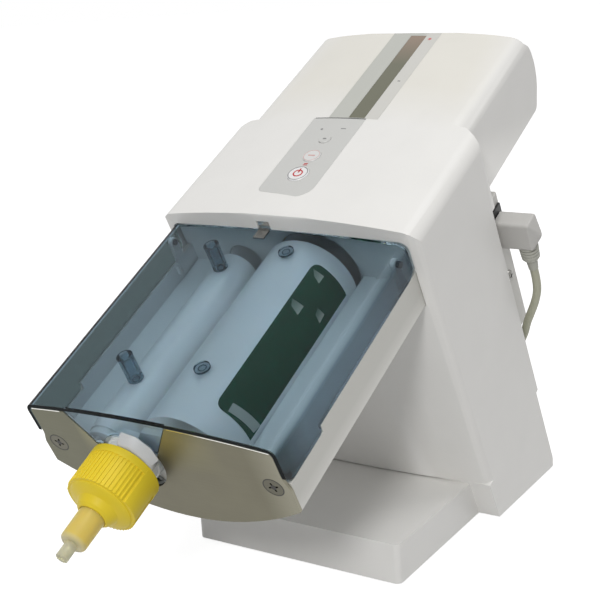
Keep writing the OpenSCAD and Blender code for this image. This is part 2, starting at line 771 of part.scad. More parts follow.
// Outer casing of the cartridge tray
module tray_shell() {
    color("whitesmoke") tilted() difference() {
        along_y(plate_out, bulk_y) polygon(belly(0, rim_z));
        along_y(plate_out + tray_front_t, bulk_y + 1) polygon(belly(tray_wall, rim_z + 1));
        along_y(plate_out - 1, plate_out + tray_front_t + 1) notch(0.4);
        for (x = [-1, 1]) translate([x * bay_w / 2, plate_out - 1, rim_z])
            translate([-4, 0, -grip_drop]) cube([8, grip_len - plate_t + 1.5, grip_drop + 1]);
        for (x = [-plate_screw_x, plate_screw_x]) rod_y(x, axis_z + 2.2, plate_out - 1, plate_out + 12, 2.15);
    }
    color("whitesmoke") tilted() for (x = [-1, 1]) difference() {
        union() {
            translate([x * (bay_w / 2 - cover_t - ear_gap - 1.5), hinge_y, 0]) {
                translate([-1.5, -ear_r, rim_z - 8]) cube([3, 2 * ear_r, hinge_z - rim_z + 8]);
                translate([-1.5, 0, hinge_z]) rotate([0, 90, 0]) cylinder(r = ear_r, h = 3);
            }
            translate([x * (bay_w / 2 - tray_wall) - 2, hinge_y - 5, rim_z - 8]) cube([4, 10, 7]);
        }
        translate([x * 70, hinge_y, hinge_z]) rotate([0, x * 90, 0])
            cylinder(r = hinge_d / 2 + run_gap, h = 20);
    }
    color("whitesmoke") tilted() for (x = [-plate_screw_x, plate_screw_x]) difference() {
        translate([x - 5, plate_out + tray_front_t - 1, axis_z - 4]) cube([10, 6, 10]);
        rod_y(x, axis_z + 2.2, plate_out, plate_out + 14, 2.15);
    }
}

// Cradle insert with a trough under each cartridge
module cradle() {
    ledge = axis_z - 2.4;
    r1 = large_d / 2 + seat_gap;
    r2 = small_d / 2 + seat_gap;
    h = bay_w / 2 - tray_wall - seat_gap;
    color("white") tilted() difference() {
        along_y(plate_out + tray_front_t + seat_gap, bulk_y - seat_gap) difference() {
            union() {
                translate([-h, ledge - 2.5]) square([2 * h, 2.5]);
                intersection() {
                    union() {
                        translate([large_x, axis_z]) circle(r = r1 + 2.4);
                        translate([small_x, axis_z]) circle(r = r2 + 2.4);
                    }
                    translate([-h, belly_z]) square([2 * h, ledge - belly_z]);
                }
            }
            translate([large_x, axis_z]) circle(r = r1);
            translate([small_x, axis_z]) circle(r = r2);
            translate([outlet_x - 4, axis_z - 3.2]) square([8, 12]);
        }
        for (x = [-plate_screw_x, plate_screw_x])
            translate([x - 5.5, plate_out + tray_front_t, axis_z - 5]) cube([11, 6, 12]);
        along_y(cartridge_front - 20, cartridge_front + 1) translate([outlet_x, axis_z]) circle(r = 19);
    }
}

// Wall behind the cartridges, with a hole for each plunger
module bulkhead() {
    color("lightgrey") tilted() difference() {
        along_y(bulk_y, bulk_y + bulk_t) difference() {
            translate([-bay_w / 2 - 1, belly_z - 3]) square([bay_w + 2, cover_side_z - belly_z + 4]);
            translate([large_x, axis_z]) circle(r = large_disc_r + 0.7);
            translate([small_x, axis_z]) circle(r = small_disc_r + 0.7);
            translate([outlet_x, axis_z]) circle(r = shaft_d / 2 + run_gap);
        }
    }
}

// Posts that hold the drive frame off the bulkhead
module frame_spacers() {
    color("silver") tilted() for (x = [-60, 60], z = [axis_z - 24, axis_z + 20])
        rod_y(x, z, bulk_y + bulk_t, bear_y, 4);
}

// Bent steel frame with both bearing plates
module drive_frame() {
    color("slategrey") tilted() difference() {
        union() {
            translate([-66, bear_y, axis_z - 32]) cube([132, bear_t, 62]);
            translate([-66, bear_y, frame_z]) cube([132, rear_bear_y + bear_t - bear_y, frame_t]);
            translate([-66, rear_bear_y, frame_z]) cube([132, bear_t, axis_z + 30 - frame_z]);
        }
        translate([outlet_x - mixer_motor_d / 2 - 1, bear_y + bear_t, frame_z - 1])
            cube([mixer_motor_d + 2, mixer_motor_len + 2, frame_t + 2]);
        rod_y(large_x, axis_z, bear_y - 1, bear_y + bear_t + 1, large_rod_d / 2 + run_gap);
        rod_y(small_x, axis_z, bear_y - 1, bear_y + bear_t + 1, small_rod_d / 2 + run_gap);
        rod_y(outlet_x, axis_z, bear_y - 1, bear_y + bear_t + 1, shaft_d / 2 + run_gap);
        rod_y(outlet_x, mixer_pinion_z, bear_y - 1, bear_y + bear_t + 1, pinion_shaft_d / 2 + run_gap);
        rod_y(screw_x, screw_z, bear_y - 1, rear_bear_y + bear_t + 1, screw_d / 2 + run_gap);
        rod_y(motor_x, screw_z, rear_bear_y - 1, rear_bear_y + bear_t + 1, pinion_shaft_d / 2 + run_gap);
        for (g = guides) rod_y(g[0], g[1], bear_y - 1, rear_bear_y + bear_t + 1, guide_d / 2);
        for (p = frame_holes) translate([p[0], p[1], frame_z - 1]) cylinder(r = 1.7, h = frame_t + 2);
    }
}

// Polished rods that the carriage slides on
module guide_rods() {
    color("silver") tilted() for (g = guides) rod_y(g[0], g[1], bear_y, rear_bear_y + bear_t, guide_d / 2);
}

// Geared motor that turns the lead screw
module press_motor() {
    color("dimgrey") tilted() difference() {
        rod_y(motor_x, screw_z, rear_bear_y - press_motor_len, rear_bear_y, press_motor_d / 2);
        rod_y(motor_x, screw_z, rear_bear_y - 9, rear_bear_y + 1, pinion_shaft_d / 2 + run_gap);
    }
}

// Motor that turns the mixer
module mixer_motor() {
    color("dimgrey") tilted() difference() {
        rod_y(outlet_x, mixer_pinion_z, bear_y + bear_t, bear_y + bear_t + mixer_motor_len, mixer_motor_d / 2);
        rod_y(outlet_x, mixer_pinion_z, bear_y + bear_t - 1, bear_y + bear_t + 9, pinion_shaft_d / 2 + run_gap);
    }
}

// Pin that the idler turns on
module idler_pin() {
    color("silver") tilted() {
        rod_y(idler_x, screw_z, rear_bear_y + bear_t, gear_y + gear_t + 1, 3);
        rod_y(idler_x, screw_z, gear_y + gear_t + 0.4, gear_y + gear_t + 1.6, 5);
    }
}

// Outline of a spur gear with a bore, first tooth on the x axis when turn is 0
module gear_outline(teeth, bore, turn) {
    rp = teeth * gear_m / 2;
    half = 360 / teeth / 4;
    ro = rp + 0.9 * gear_m;
    ri = rp - 1.15 * gear_m;
    difference() {
        rotate(turn) polygon([for (i = [0:teeth - 1]) let (a = 360 * i / teeth)
            each [for (c = [[ri, -1.45], [rp, -0.86], [ro, -0.42], [ro, 0.42], [rp, 0.86], [ri, 1.45]])
                c[0] * [cos(a + half * c[1]), sin(a + half * c[1])]]]);
        circle(r = bore);
    }
}

// Spur gear round an axis along the body
module gear(x, z, y0, t, teeth, bore, turn) {
    translate([x, 0, z]) along_y(y0, y0 + t) gear_outline(teeth, bore, turn);
}

module screw_gear() {
    color("goldenrod") tilted() gear(screw_x, screw_z, gear_y, gear_t, screw_teeth, screw_d / 2 - 1, 0);
}

// The teeth of meshed wheels stand half a pitch apart where they meet
module idler_gear() {
    color("ivory") tilted()
        gear(idler_x, screw_z, gear_y, gear_t, idler_teeth, 3 + run_gap, 180 + 180 / idler_teeth);
}

module press_pinion() {
    color("goldenrod") tilted() {
        gear(motor_x, screw_z, gear_y, gear_t, press_teeth, pinion_shaft_d / 2, 180);
        rod_y(motor_x, screw_z, rear_bear_y - 8, gear_y + gear_t, pinion_shaft_d / 2);
    }
}

module mixer_gear() {
    color("goldenrod") tilted() gear(outlet_x, axis_z, mixer_gear_y, gear_t, mixer_teeth, shaft_d / 2, -90);
}

module mixer_pinion() {
    color("goldenrod") tilted() {
        gear(outlet_x, mixer_pinion_z, mixer_gear_y, gear_t, mixer_pinion_teeth, pinion_shaft_d / 2,
            90 + 180 / mixer_pinion_teeth);
        rod_y(outlet_x, mixer_pinion_z, mixer_gear_y, bear_y + bear_t + 8, pinion_shaft_d / 2);
    }
}

// Lead screw, turned down at its ends
module lead_screw() {
    color("silver") tilted() {
        rod_y(screw_x, screw_z, bear_y, gear_y - 0.5, screw_d / 2);
        rod_y(screw_x, screw_z, gear_y - 0.5, gear_y + gear_t + 2, screw_d / 2 - 1);
        rod_y(screw_x, screw_z, rear_bear_y - 2.4, rear_bear_y - 0.4, screw_d / 2 + 2);
    }
}

// Crosshead that carries the nut and both plunger rods
module carriage() {
    color("lightsteelblue") tilted() translate([0, -advance, 0]) difference() {
        translate([-67, carriage_y, axis_z - 5.6]) cube([motor_x - press_motor_d / 2 + 65, carriage_t, 36.6]);
        for (g = guides) rod_y(g[0], g[1], carriage_y - 1, carriage_y + carriage_t + 1, guide_d / 2 + run_gap);
        rod_y(screw_x, screw_z, carriage_y - 1, carriage_y + carriage_t + 1, screw_d / 2 + 1);
    }
}

module screw_nut() {
    color("goldenrod") tilted() translate([0, -advance, 0]) difference() {
        union() {
            rod_y(screw_x, screw_z, carriage_y - 8, carriage_y, 9);
        }
        rod_y(screw_x, screw_z, carriage_y - 9, carriage_y + 1, screw_d / 2 + run_gap);
    }
}

// Plunger with its rod
module plunger(x, disc_r, rod_d) {
    tilted() translate([0, -advance, 0]) {
        rod_y(x, axis_z, plunger_y, plunger_y + plunger_t, disc_r);
        rod_y(x, axis_z, plunger_y + plunger_t - 0.5, carriage_y, rod_d / 2);
    }
}

module large_plunger() { color("gainsboro") plunger(large_x, large_disc_r, large_rod_d); }
module small_plunger() { color("gainsboro") plunger(small_x, small_disc_r, small_rod_d); }

// Red flag on the carriage that shows through the level window
module level_pointer() {
    color("firebrick") tilted()
        translate([window_x - 4, carriage_y - 8 - advance, axis_z + 31]) cube([8, 18, 5]);
}

// Cartridge barrel with its end wall and outlet
module barrel(x, d) {
    tilted() difference() {
        rod_y(x, axis_z, cartridge_front, cartridge_back, d / 2);
        rod_y(x, axis_z, cartridge_front + 3, cartridge_back + 1, d / 2 - cartridge_wall);
        rod_y(x + (outlet_x - x) * 0.5, axis_z, cartridge_front - 1, cartridge_front + 4, 3);
    }
}

module large_cartridge() { color("aliceblue") barrel(large_x, large_d); }
module small_cartridge() { color("aliceblue") barrel(small_x, small_d); }

// Pistons inside the cartridges
module cartridge_pistons() {
    color("white") tilted() {
        rod_y(large_x, axis_z, cartridge_back - 10, cartridge_back - 1, large_bore - run_gap);
        rod_y(small_x, axis_z, cartridge_back - 10, cartridge_back - 1, small_bore - run_gap);
    }
}

// Head that joins the outlets and carries the bayonet collar
module cartridge_head() {
    y1 = cartridge_front;
    color("white") tilted() difference() {
        union() {
            along_y(y1 - head_t, y1) {
                intersection() {
                    translate([large_x, axis_z]) circle(r = large_d / 2 - 1);
                    translate([-100, axis_z - 20]) square([140, 40]);
                }
                translate([small_x, axis_z]) circle(r = small_d / 2 - 1);
                translate([small_x, axis_z - 9]) square([large_x - small_x, 18]);
            }
            rod_y(outlet_x, axis_z, plate_out - 1, y1 - 1, 16.5);
            rod_y(outlet_x, axis_z, ring_front + 12, plate_out, 15.5);
            along_y(ring_front + 12, ring_front + 15) translate([outlet_x, axis_z]) intersection() {
                circle(r = 17.4);
                translate([-20, -7]) square([40, 14]);
            }
        }
        rod_y(outlet_x, axis_z, ring_front, y1 + 1, shaft_d / 2 + 0.4);
        for (x = [-8.5, 8.5]) rod_y(outlet_x + x, axis_z, ring_front, y1 + 1, 3);
    }
}

// Printed label, a thin sheet round the large cartridge, its corners cut round
module cartridge_label() {
    r = large_d / 2;
    low = front_y - label_back - label_len;
    color("darkgreen") tilted() difference() {
        along_y(low, low + label_len) translate([large_x, axis_z]) difference() {
            intersection() {
                circle(r = r + 0.3);
                polygon([[0, 0], 60 * [sin(label_from), cos(label_from)], 60 * [sin(57), cos(57)],
                    60 * [sin(label_to), cos(label_to)]]);
            }
            circle(r = r + 0.06);
        }
        for (c = [[label_from, low, 1, 1], [label_from, low + label_len, 1, -1]])
            translate([large_x, c[1], axis_z]) rotate([0, c[0], 0]) difference() {
                translate([-1, min(0, 4 * c[3]) - (c[3] > 0 ? 1 : -1) * 0.5, 0]) cube([5, 4, 60]);
                translate([4, 4 * c[3], 0]) cylinder(r = 4, h = 60);
            }
    }
}

// Bayonet ring: ribbed grip, two smooth pads, inner lugs and a coned front
module bayonet_ring() {
    r = ring_d / 2;
    bore = 17.8;
    color("gold") tilted() difference() {
        union() {
            along_y(ring_front, ring_back) translate([outlet_x, axis_z]) difference() {
                union() {
                    circle(r = r - 1);
                    for (i = [0:rib_count - 1]) rotate(360 * i / rib_count)
                        translate([r - 1.6, -0.45]) square([1.2, 0.9]);
                    intersection() {
                        circle(r = r);
                        union() for (a = [-1, 179]) rotate(a) polygon([[0, 0], [30, -11.5], [30, 11.5]]);
                    }
                }
                circle(r = bore);
            }
            along_y(ring_back - band_len, ring_back) translate([outlet_x, axis_z]) difference() {
                circle(r = r - 0.2);
                circle(r = bore);
            }
            along_y(ring_front, ring_front + 6.6) translate([outlet_x, axis_z]) circle(r = r - 1.5);
            along_y(ring_front + 15.4, ring_front + 18.4) translate([outlet_x, axis_z]) difference() {
                intersection() {
                    circle(r = bore + 0.5);
                    translate([-20, -7]) square([40, 14]);
                }
                circle(r = 15.8);
            }
            translate([outlet_x, ring_front, axis_z]) rotate([90, 0, 0]) rotate_extrude()
                polygon([[0, -1], [r - 2.4, -1], [r - 2.4, 0.5], [r - 3.4, 1.3],
                    [12.5, 3.2], [10.6, cone_len], [0, cone_len]]);
        }
        rod_y(outlet_x, axis_z, ring_front - cone_len - 1, ring_front + 8, tube_d / 2 + 0.5);
    }
}

// Clear mixing chamber: flange, tube and tip
module mixer_body() {
    r = tube_d / 2;
    y0 = ring_front + 6.9;
    l = y0 - tube_front;
    color([0.9, 0.85, 0.5, 0.6]) tilted() translate([outlet_x, y0, axis_z]) rotate([90, 0, 0]) rotate_extrude()
        polygon(concat([[r - 1.2, -3], [16, -3], [16, 0], [r + 0.1, 0]], arc([r - 2.6, l - 2.4], 2.4, 0, 80, 4),
            [[tip_d / 2, l], [tip_d / 2, l + tip_len - 0.4]],
            [[tip_d / 2 - 0.4, l + tip_len], [tip_d / 2 - 1.3, l + tip_len],
            [tip_d / 2 - 1.3, l - 1], [r - 1.4, l - 3]]));
}

// Yellow helical rotor
module mixer_rotor() {
    color("gold") tilted() difference() {
        union() {
            rod_y(outlet_x, axis_z, tube_front + 4, ring_front + 9, 2.6);
            translate([outlet_x, ring_front + 8, axis_z]) rotate([90, 0, 0])
                linear_extrude(ring_front + 3 - tube_front, twist = 540, slices = 24, segments = 12) difference() {
                    circle(r = tube_d / 2 - 1.9, $fn = 20);
                    for (a = [0, 180]) rotate(a) translate([1.2, 1.2]) square([9, 9]);
                    for (a = [0, 180]) rotate(a) translate([-10.2, 1.2]) square([9, 9]);
                }
        }
        rod_y(outlet_x, axis_z, ring_front + 3, ring_front + 10, shaft_d / 2);
    }
}

// Drive shaft of the mixer, between the two cartridges
module mixer_shaft() {
    color("silver") tilted() rod_y(outlet_x, axis_z, ring_front + 3, bear_y + bear_t + 2, shaft_d / 2);
}

// Lower edge of the cover's skirt, with the grip in front and a round end at the hinge
function skirt_side() = concat([[plate_y + 8, rim_z - grip_drop + 0.4]],
    [[plate_y + grip_len - 2, rim_z - grip_drop + 0.4],
    [plate_y + grip_len, rim_z - grip_drop + 2.4], [plate_y + grip_len, skirt_z], [hinge_y, skirt_z]],
    arc([hinge_y, hinge_z], hinge_r, -84, -56, 4), [[cover_back, hinge_z - 9], [cover_back, cover_z + 9],
    [plate_y, cover_z + 9]], arc([plate_y + 8, rim_z - grip_drop + 8.4], 8, 180, 270, 6));

// Smoked cover: crowned top, skirts with finger grips, flap over the notch
module cover() {
    color([0.35, 0.42, 0.46, 0.5]) tilted() opened() {
        intersection() {
            difference() {
                along_y(plate_y, cover_back)
                    polygon(crowned(bay_w / 2, rim_z - 20, cover_side_z, cover_rise, cover_r));
                along_y(plate_y - 1, cover_back + 1)
                    polygon(crowned(bay_w / 2 - cover_t, rim_z - 21, cover_side_z - cover_t, cover_rise, cover_r - cover_t));
                for (x = [-1, 1]) translate([x * (bay_w / 2 - cover_t - 1), hinge_y, hinge_z])
                    rotate([0, x * 90, 0]) cylinder(r = hinge_d / 2, h = 2.2);
            }
            across_x(bay_w + 4) polygon(skirt_side());
        }
        along_y(plate_y, plate_y + cover_t) difference() {
            intersection() {
                notch(-0.5);
                polygon(crowned(bay_w / 2 - cover_t, axis_z + 6, cover_side_z - cover_t + 0.2, cover_rise, 1.4));
            }
            translate([outlet_x, axis_z]) circle(r = 19);
            translate([outlet_x - 30, axis_z - 30]) square([60, 40]);
        }
    }
}

// Room under the cover's inner face, less a gap
module under_cover(gap) {
    along_y(plate_y, cover_back) polygon(crowned(bay_w / 2 - cover_t - gap, rim_z - 21,
        cover_side_z - cover_t - gap, cover_rise, cover_r - cover_t - gap));
}

// Tubular posts that press the cartridges down
module hold_down_posts() {
    color([0.3, 0.38, 0.4, 0.7]) tilted() opened() intersection() {
        for (y = [front_y - 10 - post_d / 2, front_y - 112.3]) {
            post(small_x, y, axis_z + small_d / 2 + seat_gap);
            post(large_x, y, axis_z + large_d / 2 + 1.7);
        }
        under_cover(run_gap);
    }
}

// One post down from the cover
module post(x, y, z0) {
    translate([x, y, z0]) difference() {
        cylinder(r = post_d / 2, h = cover_z - z0);
        translate([0, 0, -1]) cylinder(r = post_d / 2 - post_wall, h = cover_z - z0 - cover_t - 1);
    }
}

// Hinge pins, seated in the skirts and turning in the tray's ears
module hinge_pins() {
    color("silver") tilted() opened() for (x = [-1, 1])
        translate([x * (bay_w / 2 - cover_t - 5), hinge_y, hinge_z]) rotate([0, x * 90, 0])
            cylinder(r = hinge_d / 2, h = 5 + 1.1);
}

// Steel tongue on the rear edge of the cover, which the lip's sensor reads
module cover_tongue() {
    z = cover_z - 1;
    color("silver") tilted() opened() difference() {
        intersection() {
            translate([tongue_x - tongue_w / 2, front_y - 8.5, z]) union() {
                cube([tongue_w, 8, 1.9]);
                translate([0, 7.2, 0]) cube([tongue_w, 0.8, 2.8]);
            }
            across_x(housing_w) translate([hinge_y, hinge_z]) circle(r = 15.2);
        }
        along_y(plate_y, cover_back + 2)
            polygon(crowned(bay_w / 2 + 0.05, rim_z, cover_side_z + 0.05, cover_rise, cover_r));
    }
}

// Face of the sensor, in a notch in the lip above the tongue
module cover_sensor() {
    color("silver") tilted()
        translate([tongue_x - tongue_w / 2, front_y + 0.4, cover_z + 3]) cube([tongue_w, wall + 2, 3.2]);
}

// Route of the cord down behind the pillar to its coil, and on to the wall plug
exit_y = inlet_y * cos(tilt) - (inlet_z - 2.2 - plug_z_w / 2 - relief_len) * sin(tilt);
exit_z = inlet_y * sin(tilt) + (inlet_z - 2.2 - plug_z_w / 2 - relief_len) * cos(tilt);
coil_c = [-6, 270];
coil_r0 = 22.2;
coil_pitch = cord_d + 0.6;
coil_half = 3.75;
coil_low = cord_d / 2 - foot_gap + 1.2;
coil_step = cord_d + 0.7;
coil_top = coil_low + coil_step;
coil_r1 = coil_r0 + coil_pitch * coil_half;
coil_in = [coil_c[0] + coil_r1, coil_c[1] - cord_d - 0.01, coil_top];
coil_out = [coil_c[0] - coil_r1, coil_c[1] - cord_d - 0.01, coil_low];
route = [[relief_x, exit_y, exit_z], [relief_x, exit_y + 4, exit_z - 8.5],
    [relief_x - 0.6, exit_y + 7, exit_z - 17], [relief_x - 3.1, exit_y + 9.4, exit_z - 25.6],
    [91.8, 164.2, 127.8], [87.6, 167.6, 119.6], [83.8, 172, 111], [79, 177, 102.4],
    [73.5, 184.5, 92], [68, 193.5, 80], [62.5, 203.5, 66], [56, 214.5, 50.5],
    [49.5, 226, 35], [43.5, 239, 20.5], coil_in + [0.6, -12, 3], coil_in];
plug_at = [-80, 226, 6];
tail_route = [coil_out, coil_out + [0, -8, 0], coil_out + [-2.4, -20, 0.2], coil_out + [-8.6, -30, 1],
    coil_out + [-18, -37, 2.2], plug_at];

// Smooth curve through a list of points
function spline(p, n) = [for (i = [0:len(p) - 2]) let (a = p[max(i - 1, 0)], b = p[i], c = p[i + 1],
        d = p[min(i + 2, len(p) - 1)]) for (k = [0:n - 1]) let (t = k / n)
    0.5 * (2 * b + (c - a) * t + (2 * a - 5 * b + 4 * c - d) * t * t + (3 * b - a - 3 * c + d) * t * t * t)];
function smooth(p, n) = concat(spline(p, n), [p[len(p) - 1]]);

// Unit vector, and the side directions carried along a path
function unit(v) = v / norm(v);
function heading(p, i) = unit(p[min(i + 1, len(p) - 1)] - p[max(i - 1, 0)]);
function sides(p, i, s) = i == len(p) ? [] : let (t = heading(p, i), q = unit(s - t * (s * t)))
    concat([q], sides(p, i + 1, q));

// Round tube swept along a path
module tube(p, r, n) {
    s = sides(p, 0, [0.31, 0.17, 0.94]);
    pts = [for (i = [0:len(p) - 1]) let (t = heading(p, i), u = cross(t, s[i]))
        for (k = [0:n - 1]) p[i] + r * (s[i] * cos(360 * k / n) + u * sin(360 * k / n))];
    m = len(p);
    faces = concat([[for (k = [0:n - 1]) k]], [[for (k = [n - 1:-1:0]) (m - 1) * n + k]],
        [for (i = [0:m - 2], k = [0:n - 1]) [i * n + k, (i + 1) * n + k, (i + 1) * n + (k + 1) % n]],
        [for (i = [0:m - 2], k = [0:n - 1]) [i * n + k, (i + 1) * n + (k + 1) % n, i * n + (k + 1) % n]]);
    polyhedron(pts, faces);
}

module mains_cord() {
    color("darkseagreen") upright() {
        tube(smooth(route, 3), cord_d / 2, 8);
        tube(smooth(tail_route, 2), cord_d / 2, 8);
    }
}

// Coil in two layers: in on top, down in the half turn where it reverses, out at the bottom
coil_steps = 48 * coil_half;
coil_path = concat([coil_in],
    [for (i = [0:coil_steps]) let (t = i / 24, a = 360 * t,
        r = coil_r1 - coil_pitch * (t < coil_half ? t : 2 * coil_half - t),
        down = min(1, max(0, (t - coil_half + 0.25) / 0.5)))
        [coil_c[0] + r * cos(a), coil_c[1] + r * sin(a), coil_top - coil_step * (1 - cos(180 * down)) / 2]],
    [coil_out]);
coil_gap = min([for (i = [0:3:len(coil_path) - 1], j = [i + 12:len(coil_path) - 1])
    norm(coil_path[i] - coil_path[j])]) - cord_d;
function run(p) = [for (i = [1:len(p) - 1]) norm(p[i] - p[i - 1])] * [for (i = [1:len(p) - 1]) 1];
echo(coil_gap = coil_gap, cord_length = run(coil_path) + run(smooth(route, 3)) + run(smooth(tail_route, 2)));

module cord_coil() { color("darkseagreen") upright() tube(coil_path, cord_d / 2, 6); }

// Hook tie round the bundle
module cord_tie() {
    w = coil_r1 - coil_r0 + cord_d + 1.6;
    h = coil_step + cord_d + 1.8;
    color("dimgrey") upright()
        translate([coil_c[0], coil_c[1] + (coil_r0 + coil_r1) / 2, coil_low - cord_d / 2 + h / 2 - 0.9])
        difference() {
            cube([8, w + 1.6, h], center = true);
            cube([9, w - 0.4, h - 1.8], center = true);
        }
}

// Flat two-pin wall plug
module wall_plug() {
    color("darkseagreen") upright() translate(plug_at) rotate([0, 0, 187]) {
        hull() {
            translate([0.6, -4.5, -4.5]) cube([1, 9, 9]);
            translate([14, -17, -6.5]) cube([4, 34, 13]);
            translate([34, -17.5, -6.8]) cube([1, 35, 13.6]);
        }
    }
    color("silver") upright() translate(plug_at) rotate([0, 0, 187])
        for (y = [-9.3, 9.3]) translate([34, y, 0]) rotate([0, 90, 0]) cylinder(r = 2, h = 20);
}

base();
bottom_plate();
housing_screws();
rubber_feet();
housing_shell();
rear_cover();
back_panel();
rear_cover_screws();
tray_shell();
cradle();
front_plate();
plate_screws();
bulkhead();
cover_sensor();
frame_spacers();
drive_frame();
guide_rods();
press_motor();
mixer_motor();
idler_pin();
large_cartridge();
small_cartridge();
cartridge_head();
cartridge_label();
mixer_body();
control_panel();
level_strip();
level_window();
control_board();
power_inlet();
switch_frame();
appliance_plug();
plug_strain_relief();
mains_cord();
cord_coil();
cord_tie();
wall_plug();
cover();
hold_down_posts();
cover_tongue();
hinge_pins();
bayonet_ring();
mixer_shaft();
mixer_gear();
mixer_rotor();
mixer_pinion();
lead_screw();
screw_gear();
idler_gear();
press_pinion();
carriage();
screw_nut();
large_plunger();
small_plunger();
level_pointer();
cartridge_pistons();
large_button();
middle_button();
small_button();
power_switch();
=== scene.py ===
"""Looks of a tilted bench mixer for dental impression material, built over its CAD frame.

The body is described in its own tilted frame: x across, v along the body axis and w square
to it, in millimetres. BodyFrame turns these into the row frame in metres.
"""

import json
import logging
import math
from dataclasses import dataclass, field
from enum import Enum

import bmesh
import bpy
from mathutils import Matrix, Vector

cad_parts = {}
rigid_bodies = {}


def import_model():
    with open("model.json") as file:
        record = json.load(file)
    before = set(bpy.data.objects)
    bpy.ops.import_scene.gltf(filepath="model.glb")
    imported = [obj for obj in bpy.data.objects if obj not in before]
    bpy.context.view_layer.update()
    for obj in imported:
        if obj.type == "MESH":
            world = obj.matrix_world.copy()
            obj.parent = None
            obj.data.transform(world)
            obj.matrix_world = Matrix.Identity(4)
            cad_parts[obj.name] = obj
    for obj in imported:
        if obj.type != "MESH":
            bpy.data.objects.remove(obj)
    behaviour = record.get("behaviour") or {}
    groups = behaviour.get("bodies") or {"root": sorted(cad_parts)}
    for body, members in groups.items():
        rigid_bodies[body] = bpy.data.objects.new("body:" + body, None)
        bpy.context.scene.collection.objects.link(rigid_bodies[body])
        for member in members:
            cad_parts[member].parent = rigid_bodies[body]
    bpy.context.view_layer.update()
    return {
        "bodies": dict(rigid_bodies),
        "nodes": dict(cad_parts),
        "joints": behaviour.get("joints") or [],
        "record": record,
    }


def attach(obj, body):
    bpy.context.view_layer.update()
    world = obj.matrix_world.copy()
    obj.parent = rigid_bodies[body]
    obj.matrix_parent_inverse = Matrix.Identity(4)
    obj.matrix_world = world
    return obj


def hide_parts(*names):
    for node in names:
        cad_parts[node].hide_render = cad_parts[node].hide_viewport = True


log = logging.getLogger("mixer")
MM = 0.001
CLOUD_SCALE = 38
GRAIN_DEPTH = 0.0004
CREASE = 32


class Axis(Enum):
    """A direction of the body frame."""

    ACROSS = "across"
    ALONG = "along"
    UP = "up"


@dataclass(frozen=True)
class BodyFrame:
    """The tilted frame of the body in the row frame.

    Args:
        tilt: angle of the body axis above the bench, in degrees.
        mid_y: shift of the foot's front corner along the row's Y, in millimetres.
        lift: stand-off of the rubber feet, in millimetres.
    """

    tilt: float = 26.3
    mid_y: float = 12.513
    lift: float = 1.5

    def at(self, x: float, v: float, w: float) -> Vector:
        """Turns a point of the body frame into the row frame.

        Args:
            x: across, in millimetres.
            v: along the body axis, in millimetres.
            w: square to the body axis, in millimetres.

        Returns:
            The point in metres.
        """
        c, s = math.cos(math.radians(self.tilt)), math.sin(math.radians(self.tilt))
        return Vector((x, v * c - w * s - self.mid_y, v * s + w * c + self.lift)) * MM

    def upright(self, x: float, y: float, z: float) -> Vector:
        """Turns an upright point, measured from the foot's front corner, into the row frame."""
        return Vector((x, y - self.mid_y, z + self.lift)) * MM

    def direction(self, axis: Axis) -> Vector:
        """Gives the row-frame unit vector of an axis of the body."""
        zero = self.at(0, 0, 0)
        ends = {Axis.ACROSS: (1, 0, 0), Axis.ALONG: (0, 1, 0), Axis.UP: (0, 0, 1)}
        return (self.at(*ends[axis]) - zero).normalized()

    def reach(self, axis: Axis, value: float) -> float:
        """Gives the row-frame distance along an axis at which the body's own value is reached.

        Args:
            axis: the axis of the body.
            value: place along it in the body frame, in millimetres.

        Returns:
            The distance in metres.
        """
        way = self.direction(axis)
        return self.at(0, 0, 0).dot(way) + value * MM


BODY = BodyFrame()


def add_node(tree: bpy.types.NodeTree, kind: str, sockets: dict, setup: tuple = ()) -> bpy.types.Node:
    """Adds a shader node and fills its inputs.

    Args:
        tree: the node tree.
        kind: type of the node, without the prefix that all share.
        sockets: constants to set, or sockets to link from, by the input's name or number.
        setup: name and value of one property that is set first.

    Returns:
        The node.
    """
    node = tree.nodes.new("ShaderNode" + kind)
    if setup:
        setattr(node, *setup)
    for name, value in sockets.items():
        if isinstance(value, bpy.types.NodeSocket):
            tree.links.new(value, node.inputs[name])
        else:
            node.inputs[name].default_value = value
    return node


def add_object(name: str, data: bpy.types.ID) -> bpy.types.Object:
    """Adds an object to the scene.

    Args:
        name: name of the object.
        data: its mesh, curve, camera or lamp.

    Returns:
        The object.
    """
    made = bpy.data.objects.new(name, data)
    bpy.context.scene.collection.objects.link(made)
    return made


def closed_mesh(name: str, bm: bmesh.types.BMesh) -> bpy.types.Mesh:
    """Turns worked faces into a mesh with its normals outwards.

    Args:
        name: name of the mesh.
        bm: the faces, which are freed.

    Returns:
        The mesh.
    """
    bmesh.ops.recalc_face_normals(bm, faces=bm.faces)
    mesh = bpy.data.meshes.new(name)
    bm.to_mesh(mesh)
    bm.free()
    return mesh


class Grain(Enum):
    """How the surface of a material is broken up: scale in x, y, z per metre, bump and spread."""

    MOULDED = ((1700, 1700, 1700), 0.035, 0.03)
    SMOOTH = ((260, 260, 260), 0.006, 0.02)
    GLASSY = ((60, 60, 60), 0.0, 0.0)
    BRUSHED = ((18, 2600, 2600), 0.05, 0.07)
    DRAWN = ((2400, 90, 90), 0.03, 0.06)
    RUBBED = ((700, 700, 700), 0.06, 0.06)


def crown(x: float, half: float, side: float, rise: float) -> float:
    """Gives the height of a crown that rises from its sides to its middle."""
    return side + rise * (1 - (x / half) ** 2)


@dataclass(frozen=True)
class Span:
    """A soft step along one axis of the body, from 0 at start to 1 at end.

    Args:
        axis: the axis of the body.
        start: where the step begins, in millimetres.
        end: where it is complete, in millimetres.
        mirror: counts across from the middle, the same on both sides.
    """

    axis: Axis
    start: float
    end: float
    mirror: bool = False


